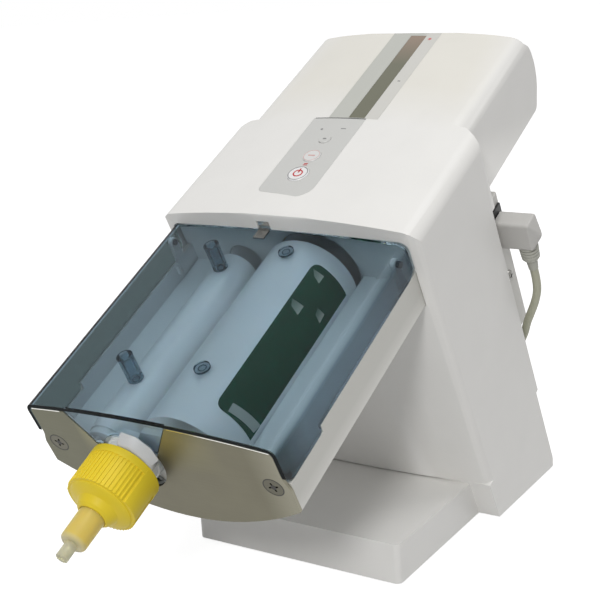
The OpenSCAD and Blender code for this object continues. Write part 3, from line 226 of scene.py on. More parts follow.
@dataclass(frozen=True)
class Patch:
    """A colour that takes over where every one of its spans is complete.

    Args:
        colour: linear red, green and blue.
        spans: the steps that bound it.
    """

    colour: tuple
    spans: tuple


@dataclass(frozen=True)
class Finish:
    """A surface finish.

    Args:
        name: name of the material.
        colour: base colour, linear red, green and blue.
        rough: roughness.
        grain: how the surface is broken up.
        metal: share of metal.
        clear: share of transmission.
        coat: weight of a clear coat.
        ior: index of refraction.
        gloss: specular level.
        soft: share of light scattered under the surface.
        tint: colour that the depth of the material lets through, if it is smoked.
        density: how strongly the depth absorbs, per metre.
        mottle: how far the colour wanders over the surface.
        patches: places with a colour of their own.
    """

    name: str
    colour: tuple
    rough: float = 0.45
    grain: Grain = Grain.MOULDED
    metal: float = 0.0
    clear: float = 0.0
    coat: float = 0.0
    ior: float = 1.46
    gloss: float = 0.5
    soft: float = 0.0
    tint: tuple = (1.0, 1.0, 1.0)
    density: float = 0.0
    mottle: float = 0.02
    patches: tuple = ()

    def build(self) -> bpy.types.Material:
        """Makes the material, or returns it if it exists.

        Returns:
            The Blender material.
        """
        known = bpy.data.materials.get(self.name)
        if known:
            return known
        mat = bpy.data.materials.new(self.name)
        mat.use_nodes = True
        tree = mat.node_tree
        shader = tree.nodes["Principled BSDF"]
        settings = {"Roughness": self.rough, "Metallic": self.metal, "IOR": self.ior,
                    "Transmission Weight": self.clear, "Coat Weight": self.coat,
                    "Specular IOR Level": self.gloss, "Subsurface Weight": self.soft}
        for socket, value in settings.items():
            shader.inputs[socket].default_value = value
        shader.inputs["Base Color"].default_value = (*self.colour, 1)
        shader.inputs["Subsurface Radius"].default_value = (0.004, 0.003, 0.002)
        place = add_node(tree, "TexCoord", {}).outputs["Object"]
        self._add_colour(tree, shader, place)
        self._add_grain(tree, shader, place)
        if self.density:
            depth = add_node(tree, "VolumeAbsorption", {"Color": (*self.tint, 1), "Density": self.density})
            tree.links.new(depth.outputs[0], tree.nodes["Material Output"].inputs["Volume"])
        return mat

    def _add_colour(self, tree: bpy.types.NodeTree, shader: bpy.types.Node,
                    place: bpy.types.NodeSocket) -> None:
        """Adds the patches and the slow wandering of the colour.

        Args:
            tree: the material's node tree.
            shader: its principled shader.
            place: the socket with the place on the object.
        """
        colour = None
        for patch in self.patches:
            sockets = {"A": (*self.colour, 1) if colour is None else colour, "B": (*patch.colour, 1),
                       "Factor": self._step(tree, place, patch.spans)}
            colour = add_node(tree, "Mix", sockets, ("data_type", "RGBA")).outputs["Result"]
        cloud = add_node(tree, "TexNoise", {"Scale": CLOUD_SCALE, "Detail": 4, "Vector": place})
        level = add_node(tree, "MapRange", {
            "From Min": 0.3, "From Max": 0.7, "To Min": 1 - self.mottle, "To Max": 1 + self.mottle / 2,
            "Value": cloud.outputs["Fac"]})
        sockets = {0: self.colour if colour is None else colour, "Scale": level.outputs["Result"]}
        scale = add_node(tree, "VectorMath", sockets, ("operation", "SCALE"))
        tree.links.new(scale.outputs[0], shader.inputs["Base Color"])

    def _step(self, tree: bpy.types.NodeTree, place: bpy.types.NodeSocket,
              spans: tuple) -> bpy.types.NodeSocket:
        """Multiplies the steps of one patch.

        Args:
            tree: the material's node tree.
            place: the socket with the place on the object.
            spans: the steps.

        Returns:
            The socket with the product.
        """
        total = None
        for span in spans:
            sockets = {0: place, 1: BODY.direction(span.axis)}
            value = add_node(tree, "VectorMath", sockets, ("operation", "DOT_PRODUCT")).outputs["Value"]
            if span.mirror:
                value = add_node(tree, "Math", {0: value}, ("operation", "ABSOLUTE")).outputs[0]
            step = add_node(tree, "MapRange", {
                "From Min": BODY.reach(span.axis, span.start), "From Max": BODY.reach(span.axis, span.end),
                "Value": value}).outputs["Result"]
            if total is None:
                total = step
            else:
                total = add_node(tree, "Math", {0: total, 1: step}, ("operation", "MULTIPLY")).outputs[0]
        return total

    def _add_grain(self, tree: bpy.types.NodeTree, shader: bpy.types.Node,
                   place: bpy.types.NodeSocket) -> None:
        """Adds the fine noise that breaks up roughness and normal.

        Args:
            tree: the material's node tree.
            shader: its principled shader.
            place: the socket with the place on the object.
        """
        size, strength, spread = self.grain.value
        scaled = add_node(tree, "Mapping", {"Scale": size, "Vector": place})
        noise = add_node(tree, "TexNoise", {"Scale": 1.0, "Detail": 3, "Vector": scaled.outputs["Vector"]})
        rough = add_node(tree, "MapRange", {
            "To Min": max(0.01, self.rough - spread), "To Max": self.rough + spread,
            "Value": noise.outputs["Fac"]})
        tree.links.new(rough.outputs["Result"], shader.inputs["Roughness"])
        if not self.clear:
            bump = add_node(tree, "Bump", {
                "Strength": strength, "Distance": GRAIN_DEPTH, "Height": noise.outputs["Fac"]})
            tree.links.new(bump.outputs["Normal"], shader.inputs["Normal"])


STEEL = Finish("bright_steel", (0.62, 0.61, 0.59), 0.25, Grain.DRAWN, metal=1)
ZINC = Finish("zinc_sheet", (0.55, 0.56, 0.57), 0.4, Grain.RUBBED, metal=1)
ALUMINIUM = Finish("drawn_aluminium", (0.70, 0.71, 0.73), 0.35, Grain.DRAWN, metal=1)
BRASS = Finish("cut_brass", (0.70, 0.50, 0.21), 0.3, Grain.RUBBED, metal=1)
NYLON = Finish("white_nylon", (0.76, 0.74, 0.68), 0.5, soft=0.05)
MOTOR = Finish("motor_grey", (0.12, 0.12, 0.125), 0.4, Grain.RUBBED, metal=0.4)
BOARD = Finish("board_green", (0.02, 0.16, 0.07), 0.45, Grain.SMOOTH)
RED = Finish("pointer_red", (0.6, 0.02, 0.015), 0.35, Grain.SMOOTH)
BLACK = Finish("black_plastic", (0.012, 0.012, 0.013), 0.45)
RUBBER = Finish("black_rubber", (0.02, 0.02, 0.02), 0.8, Grain.RUBBED)


class Part:
    """A sub-assembly that is dressed and given its finer pieces."""

    def finishes(self) -> dict[str, Finish]:
        """Gives the finish of each CAD node of the sub-assembly."""
        raise NotImplementedError

    def edges(self) -> dict[str, float]:
        """Gives the rounding of the nodes that get one, in millimetres."""
        return {}

    def build(self, frame: dict) -> None:
        """Dresses the nodes, and leaves the finer pieces to the sub-assembly's own method.
        """
        for name, finish in self.finishes().items():
            dress(frame["nodes"][name], finish, self.edges().get(name, 0.0))
        self.add_pieces()
        log.info("%s: %d nodes dressed", type(self).__name__, len(self.finishes()))

    def add_pieces(self) -> None:
        """Adds finer pieces, where the sub-assembly has any."""


def soften(node: bpy.types.Object, width: float) -> None:
    """Rounds the sharp edges of a piece with modifiers only, and shades it evenly.

    Args:
        node: the object.
        width: width of the rounding, in millimetres.
    """
    weld = node.modifiers.new("weld", "WELD")
    weld.merge_threshold = 1e-6
    if width:
        bevel = node.modifiers.new("round", "BEVEL")
        bevel.width, bevel.segments = width * MM, 3
        bevel.limit_method, bevel.angle_limit = "ANGLE", math.radians(35)
        bevel.use_clamp_overlap = True
        bevel.miter_outer = "MITER_ARC"
    for polygon in node.data.polygons:
        polygon.use_smooth = True
    split = node.modifiers.new("split", "EDGE_SPLIT")
    split.split_angle = math.radians(CREASE)
    split.use_edge_sharp = False
    weights = node.modifiers.new("weights", "WEIGHTED_NORMAL")
    weights.mode = "FACE_AREA_WITH_ANGLE"
    weights.keep_sharp = True


def dress(node: bpy.types.Object, finish: Finish, width: float = 0.0) -> None:
    """Gives a CAD node its finish and its rounding.

    Args:
        node: the object.
        finish: its finish.
        width: width of the rounding, in millimetres.
    """
    node.data.materials.clear()
    node.data.materials.append(finish.build())
    soften(node, width)


def add_piece(name: str, mesh: bpy.types.Mesh, finish: Finish, body: str) -> bpy.types.Object:
    """Adds a mesh as a piece that rides on a body.

    Args:
        name: name of the piece.
        mesh: its mesh, in the row frame.
        finish: its finish.
        body: the CAD body that it rides on.

    Returns:
        The object.
    """
    mesh.materials.append(finish.build())
    piece = add_object(name, mesh)
    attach(piece, body)
    log.info("piece %s on %s", name, body)
    return piece


def circle(centre: tuple, radius: float, steps: int) -> list:
    """Works out the corners of a circle.

    Args:
        centre: its middle.
        radius: its radius.
        steps: number of corners.

    Returns:
        The corners as pairs.
    """
    turns = [math.tau * i / steps for i in range(steps)]
    return [(centre[0] + radius * math.cos(a), centre[1] + radius * math.sin(a)) for a in turns]


class Skin:
    """A surface of the object that thin prints and strips lie on."""

    def at(self, u: float, v: float, height: float) -> Vector:
        """Gives a row-frame point over the surface."""
        raise NotImplementedError


@dataclass(frozen=True)
class CrownSkin(Skin):
    """The crowned top of the hood and the tail, over x and v.

    Args:
        front: where the top starts, along the body axis.
        level: its height there.
        fall: how far it falls towards the tail, in degrees.
        bow: how it curves down across, one over twice the radius.
    """

    front: float = 98.007
    level: float = 199.9
    fall: float = 0.7
    bow: float = 1 / 852.6

    def at(self, u: float, v: float, height: float) -> Vector:
        """Gives a row-frame point over the top."""
        drop = (v - self.front) * math.tan(math.radians(self.fall))
        return BODY.at(u, v, self.level - drop - u * u * self.bow + height)


@dataclass(frozen=True)
class BarrelSkin(Skin):
    """A cylinder along the body axis, over the angle from its top and v.

    Args:
        x: its axis across.
        w: its axis up.
        radius: its radius.
    """

    x: float
    w: float
    radius: float

    def at(self, u: float, v: float, height: float) -> Vector:
        """Gives a row-frame point over the barrel."""
        a, r = math.radians(u), self.radius + height
        return BODY.at(self.x + r * math.sin(a), v, self.w + r * math.cos(a))


@dataclass(frozen=True)
class FaceSkin(Skin):
    """A flat face square to the body axis, over x and w, looking to the front.

    Args:
        v: its place along the body axis.
    """

    v: float

    def at(self, u: float, v: float, height: float) -> Vector:
        """Gives a row-frame point in front of the face."""
        return BODY.at(u, self.v - height, v)


@dataclass(frozen=True)
class FloorSkin(Skin):
    """A flat level square to the body's up axis, over x and v.

    Args:
        w: its height.
    """

    w: float

    def at(self, u: float, v: float, height: float) -> Vector:
        """Gives a row-frame point over the level."""
        return BODY.at(u, v, self.w + height)


@dataclass
class Print:
    """Thin closed slabs of one finish, laid on a skin.

    Args:
        name: name of the piece.
        skin: the surface that they lie on.
        finish: their finish.
        body: the CAD body that they ride on.
        low: underside over the skin, in millimetres.
        high: top side over the skin, in millimetres.
    """

    name: str
    skin: Skin
    finish: Finish
    body: str
    low: float = 0.0
    high: float = 0.08
    _bm: bmesh.types.BMesh = field(default_factory=bmesh.new, repr=False)

    def sheet(self, rows: list) -> "Print":
        """Adds a closed slab over a grid of skin points.

        Args:
            rows: rows of (u, v) points, all of one length.

        Returns:
            The print itself.
        """
        face = self._bm.faces.new
        over, under = (self._points(rows, height) for height in (self.high, self.low))
        last, end = len(rows) - 1, len(rows[0]) - 1
        for i in range(last):
            for k in range(end):
                face((over[i][k], over[i][k + 1], over[i + 1][k + 1], over[i + 1][k]))
                face((under[i + 1][k], under[i + 1][k + 1], under[i][k + 1], under[i][k]))
        for k in range(end):
            face((over[0][k + 1], over[0][k], under[0][k], under[0][k + 1]))
            face((over[last][k], over[last][k + 1], under[last][k + 1], under[last][k]))
        for i in range(last):
            face((over[i][0], over[i + 1][0], under[i + 1][0], under[i][0]))
            face((over[i + 1][end], over[i][end], under[i][end], under[i + 1][end]))
        return self

    def _points(self, rows: list, height: float) -> list:
        """Adds the corners of a grid at one height over the skin."""
        return [[self._bm.verts.new(self.skin.at(u, v, height)) for u, v in row] for row in rows]

    def box(self, u: tuple, v: tuple, columns: int) -> "Print":
        """Adds a slab between two values of u and two of v, with divisions along u."""
        return self.quad(((u[0], v[0]), (u[1], v[0]), (u[1], v[1]), (u[0], v[1])), columns)

    def quad(self, corners: tuple, columns: int = 6, rows: int = 1) -> "Print":
        """Adds a four-cornered slab.

        Args:
            corners: its (u, v) corners in turn.
            columns: divisions from the first to the second corner.
            rows: divisions from the first to the last corner.

        Returns:
            The print itself.
        """
        a, b, c, d = (Vector(p) for p in corners)
        grid = []
        for i in range(rows + 1):
            left, right = a.lerp(d, i / rows), b.lerp(c, i / rows)
            grid.append([tuple(left.lerp(right, k / columns)) for k in range(columns + 1)])
        return self.sheet(grid)

    def disc(self, centre: tuple, radius: float, steps: int = 36) -> "Print":
        """Adds a round slab.

        Args:
            centre: its (u, v) middle.
            radius: its radius.
            steps: corners of its edge.

        Returns:
            The print itself.
        """
        rim = [circle(centre, radius, steps)]
        over, under = (self._points(rim, height)[0] for height in (self.high, self.low))
        self._bm.faces.new(over)
        self._bm.faces.new(reversed(under))
        for i in range(steps):
            k = (i + 1) % steps
            self._bm.faces.new((over[k], over[i], under[i], under[k]))
        return self

    def ring(self, centre: tuple, inner: float, outer: float, steps: int = 48) -> "Print":
        """Adds a ring-shaped slab.

        Args:
            centre: its (u, v) middle.
            inner: its inner radius.
            outer: its outer radius.
            steps: corners round it.

        Returns:
            The print itself.
        """
        edges = ((inner, self.high), (outer, self.high), (outer, self.low), (inner, self.low))
        loops = [self._points([circle(centre, radius, steps)], height)[0] for radius, height in edges]
        for a in range(4):
            one, two = loops[a], loops[(a + 1) % 4]
            for i in range(steps):
                k = (i + 1) % steps
                self._bm.faces.new((one[i], two[i], two[k], one[k]))
        return self

    def lay(self) -> bpy.types.Object:
        """Makes the piece from the slabs.

        Returns:
            The object.
        """
        return add_piece(self.name, closed_mesh(self.name, self._bm), self.finish, self.body)


@dataclass(frozen=True)
class Turned:
    """A turned piece round an axis along the body.

    Args:
        name: name of the piece.
        x: the axis across.
        w: the axis up.
        outline: closed outline of (radius, v) points.
        steps: divisions round the axis.
    """

    name: str
    x: float
    w: float
    outline: tuple
    steps: int = 64

    def mesh(self) -> bpy.types.Mesh:
        """Turns the outline round the axis.

        Returns:
            The closed mesh.
        """
        bm = bmesh.new()
        loops = []
        for i in range(self.steps):
            a = math.tau * i / self.steps
            loops.append([bm.verts.new(BODY.at(self.x + r * math.cos(a), v, self.w + r * math.sin(a)))
                          for r, v in self.outline])
        count = len(self.outline)
        for i in range(self.steps):
            one, two = loops[i], loops[(i + 1) % self.steps]
            for k in range(count):
                n = (k + 1) % count
                bm.faces.new((one[k], one[n], two[n], two[k]))
        mesh = closed_mesh(self.name, bm)
        for polygon in mesh.polygons:
            polygon.use_smooth = True
        return mesh


@dataclass(frozen=True)
class PhotoCamera:
    """The photograph's camera, found by fitting the body's corners.

    Args:
        place: position in the row frame, in millimetres.
        azimuth: direction round the object, in degrees.
        elevation: height angle, in degrees.
        roll: turn about the line of sight, in degrees.
        lens: focal length on a 36 mm sensor.
    """

    place: tuple = (423.1, -633.3, 384.1)
    azimuth: float = 33.3
    elevation: float = 15.8
    roll: float = -3.4
    lens: float = 78.5

    def build(self) -> bpy.types.Object:
        """Makes the camera and sets it as the scene's.

        Returns:
            The camera object.
        """
        a, e, r = (math.radians(x) for x in (self.azimuth, self.elevation, self.roll))
        back = Vector((math.sin(a) * math.cos(e), -math.cos(a) * math.cos(e), math.sin(e)))
        right = Vector((math.cos(a), math.sin(a), 0))
        up = back.cross(right)
        x_axis = right * math.cos(r) + up * math.sin(r)
        y_axis = -right * math.sin(r) + up * math.cos(r)
        data = bpy.data.cameras.new("photo_camera")
        data.lens, data.sensor_width = self.lens, 36
        data.clip_start, data.clip_end = 0.05, 20
        cam = add_object("photo_camera", data)
        cam.matrix_world = Matrix((
            (x_axis.x, y_axis.x, back.x, self.place[0] * MM),
            (x_axis.y, y_axis.y, back.y, self.place[1] * MM),
            (x_axis.z, y_axis.z, back.z, self.place[2] * MM),
            (0, 0, 0, 1),
        ))
        bpy.context.scene.camera = cam
        return cam


@dataclass(frozen=True)
class Studio:
    """Floor, world and lamps.

    Args:
        world: strength of the surrounding light on the object.
        floor: lightness of the floor.
        floor_glow: what the floor adds where the camera, gloss or clear pieces see it.
        key: power of the key lamp, in watts.
        key_place: where it hangs, in metres.
        key_size: its width, in metres.
        fill: power of the low lamp in front, in watts.
        fill_place: where it stands, in metres.
        fill_size: its width, in metres.
    """

    world: float = 0.36
    floor: float = 0.58
    floor_glow: float = 0.80
    key: float = 18.0
    key_place: tuple = (0.5, 0.2, 2.4)
    key_size: float = 1.3
    fill: float = 25.0
    fill_place: tuple = (0.75, -2.0, 1.5)
    fill_size: float = 0.5

    def build(self) -> None:
        """Makes the floor, the world and the lamps."""
        self._floor()
        self._world()
        self._lamp("key_lamp", self.key_place, self.key_size, self.key)
        self._lamp("fill_lamp", self.fill_place, self.fill_size, self.fill)
        bpy.context.scene.view_settings.view_transform = "Standard"
        log.info("studio made")

    def _seen(self, tree: bpy.types.NodeTree) -> bpy.types.NodeSocket:
        """Gives 1 where the camera sees the surface, straight, mirrored or through a clear piece.

        Args:
            tree: a node tree.

        Returns:
            The socket.
        """
        path = add_node(tree, "LightPath", {})
        total = path.outputs["Is Camera Ray"]
        for ray in ("Is Glossy Ray", "Is Transmission Ray"):
            either = add_node(tree, "Math", {0: total, 1: path.outputs[ray]}, ("operation", "MAXIMUM"))
            total = either.outputs[0]
        return total

    def _floor(self) -> None:
        """Makes a round floor that the camera sees as white, apart from the shadow."""
        mesh = bpy.data.meshes.new("floor")
        bm = bmesh.new()
        bmesh.ops.create_circle(bm, cap_ends=True, segments=96, radius=6)
        bm.to_mesh(mesh)
        bm.free()
        floor = add_object("floor", mesh)
        mat = bpy.data.materials.new("floor_white")
        mat.use_nodes = True
        tree = mat.node_tree
        shader = tree.nodes["Principled BSDF"]
        shader.inputs["Base Color"].default_value = (self.floor, self.floor, self.floor, 1)
        shader.inputs["Roughness"].default_value = 0.9
        shader.inputs["Specular IOR Level"].default_value = 0.1
        glow = add_node(tree, "Math", {0: self._seen(tree), 1: self.floor_glow}, ("operation", "MULTIPLY"))
        shader.inputs["Emission Color"].default_value = (1, 1, 1, 1)
        tree.links.new(glow.outputs[0], shader.inputs["Emission Strength"])
        mesh.materials.append(mat)

    def _world(self) -> None:
        """Makes a plain world: soft light on the object, white to the camera."""
        world = bpy.data.worlds.new("studio")
        bpy.context.scene.world = world
        world.use_nodes = True
        tree = world.node_tree
        back = tree.nodes["Background"]
        back.inputs["Color"].default_value = (1, 1, 1, 1)
        span = add_node(tree, "MapRange", {"To Min": self.world, "To Max": 1.0, "Value": self._seen(tree)})
        tree.links.new(span.outputs["Result"], back.inputs["Strength"])

    def _lamp(self, name: str, place: tuple, size: float, power: float) -> None:
        """Makes one soft lamp that faces the object.

        Args:
            name: name of the lamp.
            place: where it hangs, in metres.
            size: its width, in metres.
            power: watts.
        """
        data = bpy.data.lights.new(name, "AREA")
        data.shape, data.size, data.energy = "DISK", size, power
        lamp = add_object(name, data)
        lamp.location = place
        lamp.rotation_mode = "QUATERNION"
        lamp.rotation_quaternion = (Vector((0, 0, 0.12)) - Vector(place)).to_track_quat("-Z", "Y")


@dataclass(frozen=True)
class MainsLead:
    """The mains lead from the strain relief to the coil and its plug, in upright millimetres.

    Args:
        thick: diameter of the cord.
        exit: where it leaves the strain relief.
        coil_middle: middle of the coil on the bench.
        coil_inner: radius of its inner turn.
        turns: turns in each of its two layers.
        plug: where it enters the wall plug.
        start: the first points, from the exit.
        hanging: the points on the way down behind the base.
        end: the points from the coil towards the plug, from where the coil ends.
        finish: finish of the sheath.
    """

    thick: float = 5.6
    exit: tuple = (98.7, 152.362, 161.862)
    coil_middle: tuple = (-6, 270)
    coil_inner: float = 22.2
    turns: float = 3.75
    plug: tuple = (-80, 226, 6)
    start: tuple = ((0, 0, 0), (0, 4, -8.5), (-0.6, 7, -17), (-3.1, 9.4, -25.6))
    hanging: tuple = ((91.8, 164.2, 127.8), (87.6, 167.6, 119.6), (83.8, 172, 111), (79, 177, 102.4),
                      (73.5, 184.5, 92), (68, 193.5, 80), (62.5, 203.5, 66), (56, 214.5, 50.5),
                      (49.5, 226, 35), (43.5, 239, 20.5))
    end: tuple = ((0, 0, 0), (0, -8, 0), (-2.4, -20, 0.2), (-8.6, -30, 1), (-18, -37, 2.2))
    finish: Finish = Finish("cord_grey", (0.43, 0.43, 0.33), 0.5, Grain.SMOOTH)

    def route(self) -> list:
        """Works out the centre line from the exit to the plug.

        Returns:
            Its points as vectors, in upright millimetres.
        """
        pitch, step = self.thick + 0.6, self.thick + 0.7
        low = self.thick / 2 - BODY.lift + 1.2
        top = low + step
        outer = self.coil_inner + pitch * self.turns
        mid_x, mid_y = self.coil_middle
        coil_in = Vector((mid_x + outer, mid_y - self.thick - 0.01, top))
        coil_out = Vector((mid_x - outer, mid_y - self.thick - 0.01, low))
        begin = Vector(self.exit)
        down_way = [begin + Vector(p) for p in self.start] + [Vector(p) for p in self.hanging]
        down_way += [coil_in + Vector((0.6, -12, 3)), coil_in]
        coil = []
        for i in range(int(48 * self.turns) + 1):
            turn = i / 24
            r = outer - pitch * (turn if turn < self.turns else 2 * self.turns - turn)
            down = min(1.0, max(0.0, (turn - self.turns + 0.25) / 0.5))
            height = top - step * (1 - math.cos(math.pi * down)) / 2
            a = math.tau * turn
            coil.append(Vector((mid_x + r * math.cos(a), mid_y + r * math.sin(a), height)))
        tail = [coil_out + Vector(p) for p in self.end] + [Vector(self.plug)]
        return self._smooth(down_way, 6) + coil + self._smooth(tail, 4)

    def _smooth(self, points: list, parts: int) -> list:
        """Draws a smooth curve through points.

        Args:
            points: the points to pass.
            parts: divisions of each stretch.

        Returns:
            The finer points.
        """
        fine = []
        for i in range(len(points) - 1):
            a, b = points[max(i - 1, 0)], points[i]
            c, d = points[i + 1], points[min(i + 2, len(points) - 1)]
            for k in range(parts):
                t = k / parts
                fine.append(0.5 * (2 * b + (c - a) * t + (2 * a - 5 * b + 4 * c - d) * t * t
                                   + (3 * b - a - 3 * c + d) * t ** 3))
        return fine + [points[-1]]

    def build(self, frame: dict) -> None:
        points = [BODY.upright(*p) for p in self.route()]
        data = bpy.data.curves.new("mains_lead", "CURVE")
        data.dimensions = "3D"
        data.bevel_depth, data.bevel_resolution = self.thick / 2 * MM, 4
        data.use_fill_caps = True
        line = data.splines.new("POLY")
        line.points.add(len(points) - 1)
        for point, place in zip(line.points, points):
            point.co = (*place, 1)
        line.use_smooth = True
        data.materials.append(self.finish.build())
        lead = add_object("mains_lead", data)
        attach(lead, "housing")
        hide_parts("mains_cord", "cord_coil")
        dress(frame["nodes"]["wall_plug"], self.finish, 0.4)
        dress(frame["nodes"]["cord_tie"], BLACK)


@dataclass(frozen=True)
class Housing(Part):
    """The base, the housing moulding and what is screwed under it.

    Args:
        white: finish of the moulded casing, darker and creamier on the tail's top.
    """

    white: Finish = Finish("body_white", (0.80, 0.79, 0.765), 0.42, mottle=0.015, patches=(
        Patch((0.76, 0.74, 0.68), (Span(Axis.ALONG, 196, 240), Span(Axis.UP, 190, 194))),))

    def finishes(self) -> dict[str, Finish]:
        """Gives the finish of each CAD node."""
        return {"base": self.white, "housing_shell": self.white, "bottom_plate": ZINC,
                "housing_screws": STEEL, "rubber_feet": RUBBER, "frame_spacers": STEEL}

    def edges(self) -> dict[str, float]:
        """Gives the rounding of the casing's edges."""
        return {"base": 0.8, "housing_shell": 0.7}


@dataclass(frozen=True)
class Tray(Part):
    """The tray under the cartridges, with its cradle and bulkhead.

    Args:
        outside: finish of the tray, with painted light on its lower part and painted shade on its inner
            walls.
        inside: finish of the pieces in the bay.
    """

    outside: Finish = Finish("tray_white", (0.585, 0.58, 0.54), 0.42, mottle=0.015, patches=(
        # painted light: the tray's lower part is painted lighter
        Patch((0.80, 0.79, 0.75), (Span(Axis.UP, 148, 132),)),
        # painted shade: the tray's inner walls are painted grey-green
        Patch((0.58, 0.60, 0.60), (Span(Axis.ACROSS, 80.9, 80.5, True),)),))
    inside: Finish = Finish("bay_white", (0.72, 0.75, 0.75), 0.5)

    def finishes(self) -> dict[str, Finish]:
        """Gives the finish of each CAD node."""
        return {"tray_shell": self.outside, "cradle": self.inside, "bulkhead": self.inside}

    def edges(self) -> dict[str, float]:
        """Gives the rounding of the tray's edges."""
        return {"tray_shell": 0.6, "cradle": 0.3}


@dataclass(frozen=True)
class FrontPlate(Part):
    """The brushed steel plate in front, with its two screws.

    Args:
        front: its face along the body axis.
        screw_x: the screws across, on both sides.
        screw_w: the screws' height.
        half: half the width that its crown is drawn over.
        side: height of the crown's sides.
        rise: rise of the crown in the middle.
        edge_w: width of the painted highlight along the upper edge.
        edge_x: its stretches across, beside the notch.
        head: inner and outer radius of the joint round a screw's head.
        recess: radius of a screw's recess, which is painted dark as shade.
        steel: finish of the plate, darkened all over as a painted reflection of dark surroundings, with a
            painted highlight towards its right end, a painted dark reflection on its left end and a painted
            reflection of the yellow ring near the notch.
        screw: finish of the screws.
        rim: finish of the joints and of the painted shade in the recesses.
        bright: finish of the painted highlight on the upper edge.
    """

    front: float = -58.99
    screw_x: float = 72.4
    screw_w: float = 154.8
    half: float = 80.4
    side: float = 181.2
    rise: float = 4.2
    edge_w: float = 0.55
    edge_x: tuple = ((-79.0, -57.5), (17.0, 79.0))
    head: tuple = (5.7, 6.3)
    recess: float = 1.7
    # painted reflection: the plate's base colour is darkened to stand in for the dark surroundings that it
    # mirrors
    steel: Finish = Finish("brushed_plate", (0.150, 0.141, 0.100), 0.44, Grain.BRUSHED, metal=1, mottle=0.06,
                           # painted highlight: lighter towards the plate's right end
                           patches=(Patch((0.23, 0.22, 0.17), (Span(Axis.ACROSS, 62, 80),)),
                                    # painted reflection of the yellow ring, on the upper middle of the plate
                                    Patch((0.30, 0.28, 0.15), (Span(Axis.UP, 152, 176),
                                                               Span(Axis.ACROSS, 46, 0))),
                                    # painted reflection: darker towards the plate's left end
                                    Patch((0.122, 0.120, 0.083), (Span(Axis.ACROSS, -40, -52),))))
    screw: Finish = Finish("screw_steel", (0.105, 0.10, 0.075), 0.4, Grain.DRAWN, metal=1)
    rim: Finish = Finish("screw_rim", (0.015, 0.014, 0.012), 0.5, Grain.DRAWN, metal=0.2)
    bright: Finish = Finish("edge_highlight_paint", (0.78, 0.77, 0.74), 0.2, Grain.DRAWN, metal=1)

    def finishes(self) -> dict[str, Finish]:
        """Gives the finish of each CAD node."""
        return {"front_plate": self.steel, "plate_screws": self.screw}

    def edges(self) -> dict[str, float]:
        """Gives the rounding of the plate's edges."""
        return {"front_plate": 0.2, "plate_screws": 0.15}

    def add_pieces(self) -> None:
        """Adds the dark joints round the screws, painted shade in their recesses, and a painted highlight
        along the upper edge.
        """
        face = FaceSkin(self.front)
        rims = Print("screw_rims", face, self.rim, "housing", 0.0, 0.05)
        for x in (-self.screw_x, self.screw_x):
            rims.ring((x, self.screw_w), *self.head)
            # painted shade: a dark disc in each screw's recess
            rims.disc((x, self.screw_w), self.recess, 24)
        rims.lay()
        # painted highlight: a bright strip along the plate's upper edge
        light = Print("upper_edge_highlight", face, self.bright, "housing", 0.0, 0.05)
        for x0, x1 in self.edge_x:
            places = [x0 + (x1 - x0) * i / 16 for i in range(17)]
            light.sheet([[(x, self.top(x)), (x, self.top(x) - self.edge_w)] for x in places])
        light.lay()

    def top(self, x: float) -> float:
        """Gives the height of the plate's crowned upper edge."""
        return crown(x, self.half, self.side, self.rise)


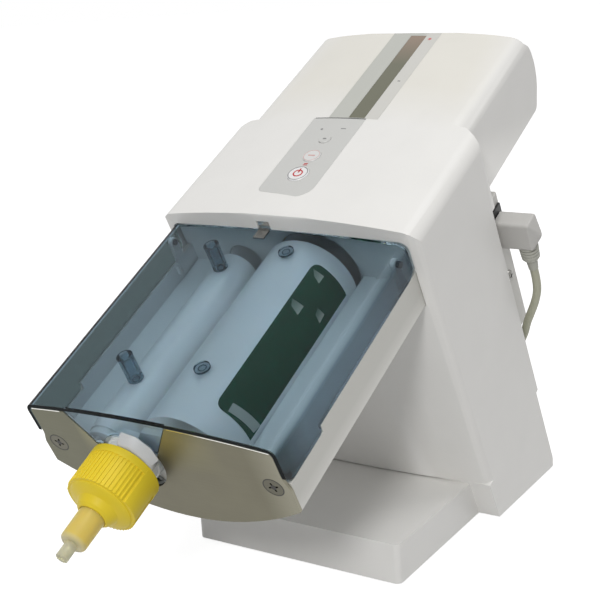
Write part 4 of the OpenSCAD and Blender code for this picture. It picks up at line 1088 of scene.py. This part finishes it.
@dataclass(frozen=True)
class SmokedCover(Part):
    """The smoked cover with its posts, tongue and hinge pins.

    Args:
        half: half its width.
        front: its front face along the body axis.
        side: height of the crown's sides.
        rise: rise of the crown in the middle.
        round: rounding of its long edges.
        wall: its thickness.
        grip: height of the finger grips' lower edge.
        small_x: posts over the small cartridge, across.
        large_x: posts over the large cartridge, across.
        small_low: lower end of the small cartridge's posts.
        large_low: lower end of the large cartridge's posts.
        post_v: the posts along the body axis.
        bend: how far below the crown's sides the rounding starts.
        end_rim: inner and outer radius of the rim at a post's lower end.
        bore_rim: the same round its bore.
        top_rim: the same under the cover.
        acrylic: finish of the cover, with painted shade on its side skirts, darkest on the left and at the
            right skirt's front.
        post: finish of the posts.
        tongue: finish of the tongue.
        rim: finish of the painted shade on the posts' rims.
        edge: finish of the painted shade on the front edge.
        dark: finish of the hinge pins.
    """

    half: float = 83.0
    front: float = -58.99
    side: float = 183.9
    rise: float = 4.2
    round: float = 6.0
    wall: float = 2.2
    grip: float = 163.4
    small_x: float = -41.4
    large_x: float = 12.6
    small_low: float = 166.95
    large_low: float = 184.35
    post_v: tuple = (83.307, -14.293)
    bend: float = 5.6
    end_rim: tuple = (4.25, 4.75)
    bore_rim: tuple = (2.0, 2.6)
    top_rim: tuple = (4.3, 4.95)
    acrylic: Finish = Finish("smoked_acrylic", (0.96, 0.97, 0.97), 0.03, Grain.GLASSY, clear=1.0, ior=1.2,
                             gloss=0.15, tint=(0.43, 0.552, 0.625), density=400, mottle=0.0, patches=(
        # painted shade: the left skirt is painted dark
        Patch((0.16, 0.19, 0.17), (Span(Axis.ACROSS, -79, -80), Span(Axis.UP, 183, 179))),
        # painted shade: the right skirt is painted darker
        Patch((0.34, 0.40, 0.44), (Span(Axis.ACROSS, 79, 80), Span(Axis.UP, 181, 178))),
        # painted shade: darker still at the right skirt's front
        Patch((0.10, 0.15, 0.16), (Span(Axis.ACROSS, 78, 80), Span(Axis.UP, 182, 178),
                                   Span(Axis.ALONG, -30, -52)))))
    post: Finish = Finish("smoked_posts", (0.72, 0.82, 0.88), 0.05, Grain.GLASSY, clear=1.0, ior=1.2,
                          gloss=0.15, tint=(0.44, 0.56, 0.61), density=260, mottle=0.0)
    tongue: Finish = Finish("tongue_steel", (0.26, 0.26, 0.25), 0.28, Grain.DRAWN, metal=1)
    rim: Finish = Finish("post_rim", (0.02, 0.03, 0.04), 0.3, Grain.SMOOTH)
    edge: Finish = Finish("front_edge_shade", (0.010, 0.012, 0.013), 0.6, Grain.GLASSY, gloss=0.05)
    dark: Finish = Finish("pin_dark", (0.10, 0.11, 0.12), 0.4, Grain.DRAWN, metal=0.6)

    def finishes(self) -> dict[str, Finish]:
        """Gives the finish of each CAD node."""
        return {"cover": self.acrylic, "hold_down_posts": self.post, "cover_tongue": self.tongue,
                "hinge_pins": self.dark, "cover_sensor": STEEL}

    def edges(self) -> dict[str, float]:
        """Gives the rounding of the cover's edges."""
        return {"cover": 0.35}

    def crest(self, x: float) -> float:
        """Gives the height of the cover's crown, square to the body axis."""
        return crown(x, self.half, self.side, self.rise)

    def add_pieces(self) -> None:
        """Adds the painted shade on the front edge and on the rims of the posts' ends."""
        # painted shade: a dark sheet over the cover's front edge
        edge = Print("painted_edge_shade", FaceSkin(self.front), self.edge, "cover_assembly", 0.0, 0.06)
        edge.sheet(self.edge_rows()).lay()
        # painted shade: dark rings on the posts' ends and round their bores, and under the cover round the
        # tall posts
        rims = Print("post_rims", FloorSkin(0.0), self.rim, "cover_assembly", 0.0, 0.12)
        for x, low in ((self.small_x, self.small_low), (self.large_x, self.large_low)):
            for v in self.post_v:
                rims.skin = FloorSkin(low)
                rims.ring((x, v), *self.end_rim, 32)
                rims.ring((x, v), *self.bore_rim, 32)
        for v in self.post_v:
            rims.skin = FloorSkin(self.crest(self.small_x) - self.wall - 0.5)
            rims.ring((self.small_x, v), *self.top_rim, 32)
        rims.lay()

    def edge_rows(self) -> list:
        """Works out the cover's front edge, from one grip over the crown to the other.

        Returns:
            Rows of an outer and an inner (x, w) point.
        """
        corner = []
        for i in range(9):
            a = math.radians(i * 9)
            row = []
            for half, r in ((self.half, self.round), (self.half - self.wall, self.round - self.wall)):
                row.append((half - r * (1 - math.cos(a)), self.side - self.bend + r * math.sin(a)))
            corner.append(row)
        start = [(self.half, self.grip), (self.half - self.wall, self.grip)]
        last = corner[-1][0][0]
        places = [last * (1 - i / 12) for i in range(1, 24)]
        top = [[(x, self.crest(x)), (x, self.crest(x) - self.wall)] for x in places]
        mirrored = [[(-x, w) for x, w in row] for row in [start] + corner]
        return [start] + corner + top + mirrored[::-1]


@dataclass(frozen=True)
class Cartridges(Part):
    """The two cartridges with their head, label and pistons.

    Args:
        x: axis of the large cartridge across.
        w: axis of both up.
        radius: radius of the large cartridge.
        label_from: left edge of the label, degrees from the top.
        label_to: its right edge.
        label_low: its front edge along the body axis.
        label_high: its rear edge.
        corner: rounding of its left corners.
        spots: corners of the light spots on the label, as angle and v.
        stripe: corners of its light band.
        barrel: finish of the cartridges.
        green: finish of the label.
        pale: finish of the spots.
        band: finish of the band.
    """

    x: float = 12.6
    w: float = 152.6
    radius: float = 30.1
    label_from: float = 33
    label_to: float = 87
    label_low: float = -32.5
    label_high: float = 84.5
    corner: float = 5.0
    spots: tuple = (((36.4, 79.4), (50.6, 79.6), (50.4, 73.2), (41.7, 75.2)),
                    ((35.7, 53.4), (50.7, 53.6), (50.6, 46.3), (39.6, 48.6)),
                    ((64.6, 59.9), (75.8, 60.9), (77.2, 54.1), (66.9, 55.2)))
    stripe: tuple = ((46.7, -25.1), (87.0, -21.4), (84.6, -28.2), (47.4, -31.0))
    barrel: Finish = Finish("barrel_white", (0.84, 0.86, 0.86), 0.3, Grain.SMOOTH, soft=0.1)
    green: Finish = Finish("label_green", (0.007, 0.068, 0.034), 0.5, Grain.GLASSY, gloss=0.06, mottle=0.03)
    pale: Finish = Finish("label_pale", (0.46, 0.50, 0.42), 0.3, Grain.SMOOTH, patches=(
        Patch((0.05, 0.13, 0.09), (Span(Axis.UP, 171.5, 177.5), Span(Axis.UP, 169, 170))),
        Patch((0.05, 0.13, 0.09), (Span(Axis.UP, 159.5, 165.5), Span(Axis.UP, 168, 167)))))
    band: Finish = Finish("label_band", (0.40, 0.44, 0.40), 0.3, Grain.SMOOTH)

    def finishes(self) -> dict[str, Finish]:
        """Gives the finish of each CAD node."""
        return {"large_cartridge": self.barrel, "small_cartridge": self.barrel,
                "cartridge_head": self.barrel, "cartridge_pistons": NYLON}

    def edges(self) -> dict[str, float]:
        """Gives the rounding of the cartridges' edges."""
        return {"large_cartridge": 0.3, "small_cartridge": 0.3, "cartridge_head": 0.4}

    def add_pieces(self) -> None:
        """Lays the label round the large cartridge, with its pale marks."""
        skin = BarrelSkin(self.x, self.w, self.radius)
        rows = []
        for i in range(37):
            angle = self.label_from + (self.label_to - self.label_from) * i / 36
            side = math.radians(angle - self.label_from) * self.radius
            cut = self.corner - math.sqrt(max(0.0, self.corner ** 2 - max(0.0, self.corner - side) ** 2))
            rows.append([(angle, self.label_low + cut), (angle, self.label_high - cut)])
        label = Print("label_sheet", skin, self.green, "housing", 0.07, 0.40).sheet(rows).lay()
        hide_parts("cartridge_label")
        for polygon in label.data.polygons:
            polygon.use_smooth = True
        soften(label, 0.0)
        marks = Print("label_marks", skin, self.pale, "housing", 0.38, 0.46)
        for corners in self.spots:
            marks.quad(corners, 8)
        marks.lay()
        band = Print("label_band", skin, self.band, "housing", 0.38, 0.46)
        band.quad(self.stripe, 18)
        band.lay()


@dataclass(frozen=True)
class MixerOutlet(Part):
    """The bayonet ring, the mixing tube and its rotor.

    Args:
        x: axis of the outlet across.
        w: axis of the outlet up.
        ring_front: front end of the ring along the body axis.
        cone: length of the cone before it.
        back: rear end of the neck's pieces, just behind the ring.
        plate: their front end, just before the plate.
        collar: outline of the ring's collar, as radius and v from the cone's end.
        tab: outline of the neck's tab, across and up from the outlet's axis.
        tab_grow: its size at the rear of the ring, as a share of that at the plate.
        stub: the neck's stub across and up from the axis, and its radius.
        yellow: finish of the ring.
        frosted: finish of the mixing tube.
        white: finish of the neck.
        rotor: finish of the mixing rotor.
    """

    x: float = -20.2
    w: float = 152.6
    ring_front: float = -90.8
    cone: float = 6.5
    back: float = -66.0
    plate: float = -59.59
    collar: tuple = ((7.85, 2.5), (10.5, 2.5), (10.75, 0.4), (10.4, -0.5), (9.6, -0.9), (9.2, -1.6),
                     (8.6, -2.0), (7.85, -2.0))
    tab: tuple = ((3.4, 8.0), (3.4, 25.2), (13.5, 23.2), (20.6, 15.4), (22.2, 6.0), (12.0, 4.0))
    tab_grow: float = 0.84
    stub: tuple = (13.5, 5.5, 6.0)
    yellow: Finish = Finish("ring_yellow", (0.78, 0.60, 0.03), 0.45, gloss=0.3, soft=0.06)
    frosted: Finish = Finish("mixer_frosted", (0.90, 0.74, 0.20), 0.34, Grain.GLASSY, clear=0.45, ior=1.3,
                             soft=0.15, mottle=0.0, patches=(
                                 Patch((0.72, 0.70, 0.52), (Span(Axis.ALONG, -115.5, -118.8),)),))
    white: Finish = Finish("neck_white", (0.56, 0.57, 0.575), 0.35, Grain.SMOOTH, soft=0.05)
    rotor: Finish = Finish("rotor_yellow", (0.82, 0.62, 0.05), 0.4, Grain.SMOOTH)

    def finishes(self) -> dict[str, Finish]:
        """Gives the finish of each CAD node."""
        return {"bayonet_ring": self.yellow, "mixer_body": self.frosted, "mixer_rotor": self.rotor,
                "mixer_shaft": STEEL}

    def edges(self) -> dict[str, float]:
        """Gives the rounding of the ring's edges."""
        return {"bayonet_ring": 0.18}

    def add_pieces(self) -> None:
        """Adds the collar where the tube leaves the ring, and the neck's tab and stub."""
        end = self.ring_front - self.cone
        collar = Turned("ring_collar", self.x, self.w, tuple((r, end + v) for r, v in self.collar))
        add_piece(collar.name, collar.mesh(), self.yellow, "ring")
        self._tab()
        x, w, r = self.stub
        stub = Turned("neck_stub", self.x + x, self.w + w, (
            (0.01, self.back), (r - 0.6, self.back), (r, self.back + 0.6),
            (r, self.plate), (0.01, self.plate)), 40)
        add_piece(stub.name, stub.mesh(), self.white, "housing")

    def _tab(self) -> None:
        """Adds the sloping tab on the neck, between the ring and the plate."""
        bm = bmesh.new()
        ends = []
        for v, grow in ((self.back, self.tab_grow), (self.plate, 1.0)):
            ends.append([bm.verts.new(BODY.at(self.x + x * grow, v, self.w + w * grow)) for x, w in self.tab])
        bm.faces.new(ends[0])
        bm.faces.new(reversed(ends[1]))
        for i in range(len(self.tab)):
            k = (i + 1) % len(self.tab)
            bm.faces.new((ends[0][k], ends[0][i], ends[1][i], ends[1][k]))
        soften(add_piece("neck_tab", closed_mesh("neck_tab", bm), self.white, "housing"), 1.2)


RED_INK = Finish("ink_red", (0.50, 0.035, 0.04), 0.5, Grain.SMOOTH)
PINK_INK = Finish("ink_pink", (0.62, 0.36, 0.34), 0.5, Grain.SMOOTH)
SOFT_INK = Finish("ink_soft", (0.22, 0.22, 0.22), 0.5, Grain.SMOOTH)
# dark paint that stands in for the shade in the gap behind the panel
GAP_SHADE = Finish("gap_shade_paint", (0.035, 0.036, 0.038), 0.5, Grain.SMOOTH)


@dataclass(frozen=True)
class KeySign:
    """What is printed on the flat top of one key.

    Args:
        body: the key's CAD body.
        v: middle of the key along the body axis.
        drop: how far its seat lies below the crown's start.
        ink: finish of the sign.
        bar: the sign's bar, across and along from the key's middle.
        columns: divisions of the bar.
        loop: inner and outer radius of the sign's ring, if it has one.
        rim: inner and outer radius of the thin line round the key, if it has one.
        rim_ink: finish of that line.
    """

    body: str
    v: float
    drop: float
    ink: Finish
    bar: tuple
    columns: int = 3
    loop: tuple = ()
    rim: tuple = ()
    rim_ink: Finish = SOFT_INK

    def lay(self, x: float, top: float) -> None:
        """Prints the sign and the line.

        Args:
            x: middle of the key across.
            top: height of the key's top over its seat.
        """
        skin = CrownSkin(front=self.v, level=CrownSkin.level - self.drop, fall=0.0, bow=0.0)
        sign = Print(self.body + "_sign", skin, self.ink, self.body, top, top + 0.1)
        if self.loop:
            sign.ring((x, self.v), *self.loop)
        (x0, x1), (v0, v1) = self.bar
        sign.box((x + x0, x + x1), (self.v + v0, self.v + v1), self.columns).lay()
        if self.rim:
            line = Print(self.body + "_ring", skin, self.rim_ink, self.body, top, top + 0.06)
            line.ring((x, self.v), *self.rim)
            line.lay()


@dataclass(frozen=True)
class Controls(Part):
    """The panel with its three keys, and the level strip with its window.

    Args:
        key_x: middle of the keys across.
        key_top: height of the keys' tops over their seats.
        gap: corners of the painted shade in the gap between panel and strip.
        lamp: middle of the lamp at the tail.
        signs: what is printed on the keys.
        panel: finish of the panel.
        strip: finish of the level strip.
        window: finish of its window.
        key: finish of the large key.
        middle: finish of the middle key.
        quiet_key: finish of the small key.
    """

    key_x: float = -4.2
    key_top: float = 0.7
    gap: tuple = ((-23.6, 198.35), (13.6, 198.15), (13.6, 199.05), (-23.6, 199.05))
    lamp: tuple = (16.0, 293.7)
    signs: tuple = (
        KeySign("large_key", 138.6, 0.496, RED_INK, ((-0.5, 0.5), (0.6, 4.6)), 2, (2.4, 3.3), (6.0, 6.5)),
        KeySign("middle_key", 157.1, 0.722, PINK_INK, ((-2.4, 2.4), (-0.5, 0.5)), 3, (), (5.0, 5.3),
                PINK_INK),
        KeySign("small_key", 175.0, 0.941, SOFT_INK, ((-1.1, 1.1), (-0.6, 0.6))))
    panel: Finish = Finish("panel_grey", (0.575, 0.575, 0.555), 0.36, Grain.SMOOTH, mottle=0.01)
    strip: Finish = Finish("strip_grey", (0.50, 0.505, 0.465), 0.36, Grain.SMOOTH, mottle=0.01, patches=(
        Patch((0.61, 0.60, 0.565), (Span(Axis.ACROSS, 8, 13),)),))
    window: Finish = Finish("window_smoke", (0.122, 0.122, 0.075), 0.2, Grain.SMOOTH, coat=0.1, patches=(
        Patch((0.26, 0.185, 0.13), (Span(Axis.ALONG, 262, 296),)),))
    key: Finish = Finish("key_white", (0.78, 0.78, 0.78), 0.35, Grain.SMOOTH)
    middle: Finish = Finish("key_pale", (0.68, 0.68, 0.67), 0.35, Grain.SMOOTH)
    quiet_key: Finish = Finish("key_grey", (0.575, 0.575, 0.555), 0.36, Grain.SMOOTH)

    def finishes(self) -> dict[str, Finish]:
        """Gives the finish of each CAD node."""
        return {"control_panel": self.panel, "level_strip": self.strip, "level_window": self.window,
                "large_button": self.key, "middle_button": self.middle, "small_button": self.quiet_key,
                "control_board": BOARD, "level_pointer": RED}

    def add_pieces(self) -> None:
        """Prints the dots and signs, and paints shade into the gap behind the panel."""
        x = self.key_x
        soft = self._print("key_ring_soft", SOFT_INK)
        soft.disc((-12.3, 186.1), 0.8).box((1.2, 4.8), (186.9, 187.5), 4).lay()
        # painted shade: a dark sheet in the gap behind the panel
        self._print("painted_gap_shade", GAP_SHADE, -0.45, 0.03).quad(self.gap, 16).lay()
        signs = self._print("panel_signs", RED_INK)
        for v in (147.6, 149.0):
            signs.box((x - 1.6, x + 1.2), (v, v + 0.7), 3)
        signs.disc(self.lamp, 0.75, 20).lay()
        self._print("lamp_halo", PINK_INK, 0.0, 0.09).ring(self.lamp, 0.8, 1.4).lay()
        self._print("strip_dash", SOFT_INK).box((15.6, 17.4), (241.9, 242.8), 3).lay()
        for sign in self.signs:
            sign.lay(x, self.key_top)

    def _print(self, name: str, ink: Finish, low: float = 0.0, high: float = 0.1) -> Print:
        """Starts a print on the crowned top."""
        return Print(name, CrownSkin(), ink, "housing", low, high)


@dataclass(frozen=True)
class Drive(Part):
    """The two motors, the gears, the screw and the plungers."""

    def finishes(self) -> dict[str, Finish]:
        """Gives the finish of each CAD node."""
        return {"drive_frame": ZINC, "guide_rods": STEEL, "press_motor": MOTOR, "mixer_motor": MOTOR,
                "idler_pin": STEEL, "mixer_gear": BRASS, "mixer_pinion": BRASS, "lead_screw": STEEL,
                "screw_gear": BRASS, "idler_gear": NYLON, "press_pinion": BRASS, "carriage": ALUMINIUM,
                "screw_nut": BRASS, "large_plunger": ALUMINIUM, "small_plunger": ALUMINIUM}

    def edges(self) -> dict[str, float]:
        """Gives the rounding of the carriage's edges."""
        return {"carriage": 0.4}


@dataclass(frozen=True)
class RearConnections(Part):
    """The rear cover with its panel, the inlet, the switch and the appliance plug.

    Args:
        white: finish of the covers.
        plug: finish of the appliance plug.
        relief: finish of its strain relief.
        screw: finish of the cover's screws.
    """

    white: Finish = Finish("rear_white", (0.66, 0.65, 0.62), 0.5)
    plug: Finish = Finish("plug_moulding", (0.50, 0.49, 0.47), 0.45)
    relief: Finish = Finish("relief_grey", (0.43, 0.43, 0.38), 0.5)
    screw: Finish = Finish("cover_screw", (0.24, 0.235, 0.22), 0.35, Grain.DRAWN, metal=1)

    def finishes(self) -> dict[str, Finish]:
        """Gives the finish of each CAD node."""
        return {"rear_cover": self.white, "back_panel": self.white, "rear_cover_screws": self.screw,
                "power_inlet": BLACK, "switch_frame": BLACK, "power_switch": BLACK,
                "appliance_plug": self.plug, "plug_strain_relief": self.relief}

    def edges(self) -> dict[str, float]:
        """Gives the rounding of the covers' edges."""
        return {"rear_cover": 0.6, "back_panel": 0.4, "power_inlet": 0.3, "appliance_plug": 0.3}


def main() -> None:
    """Builds the scene in order."""
    logging.basicConfig(level=logging.INFO, format="%(message)s")
    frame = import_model()
    PhotoCamera().build()
    MainsLead().build(frame)
    Studio().build()
    for part in (Housing(), Tray(), FrontPlate(), SmokedCover(), Cartridges(), MixerOutlet(),
                 Controls(), Drive(), RearConnections()):
        part.build(frame)


if __name__ == "__main__":
    main()
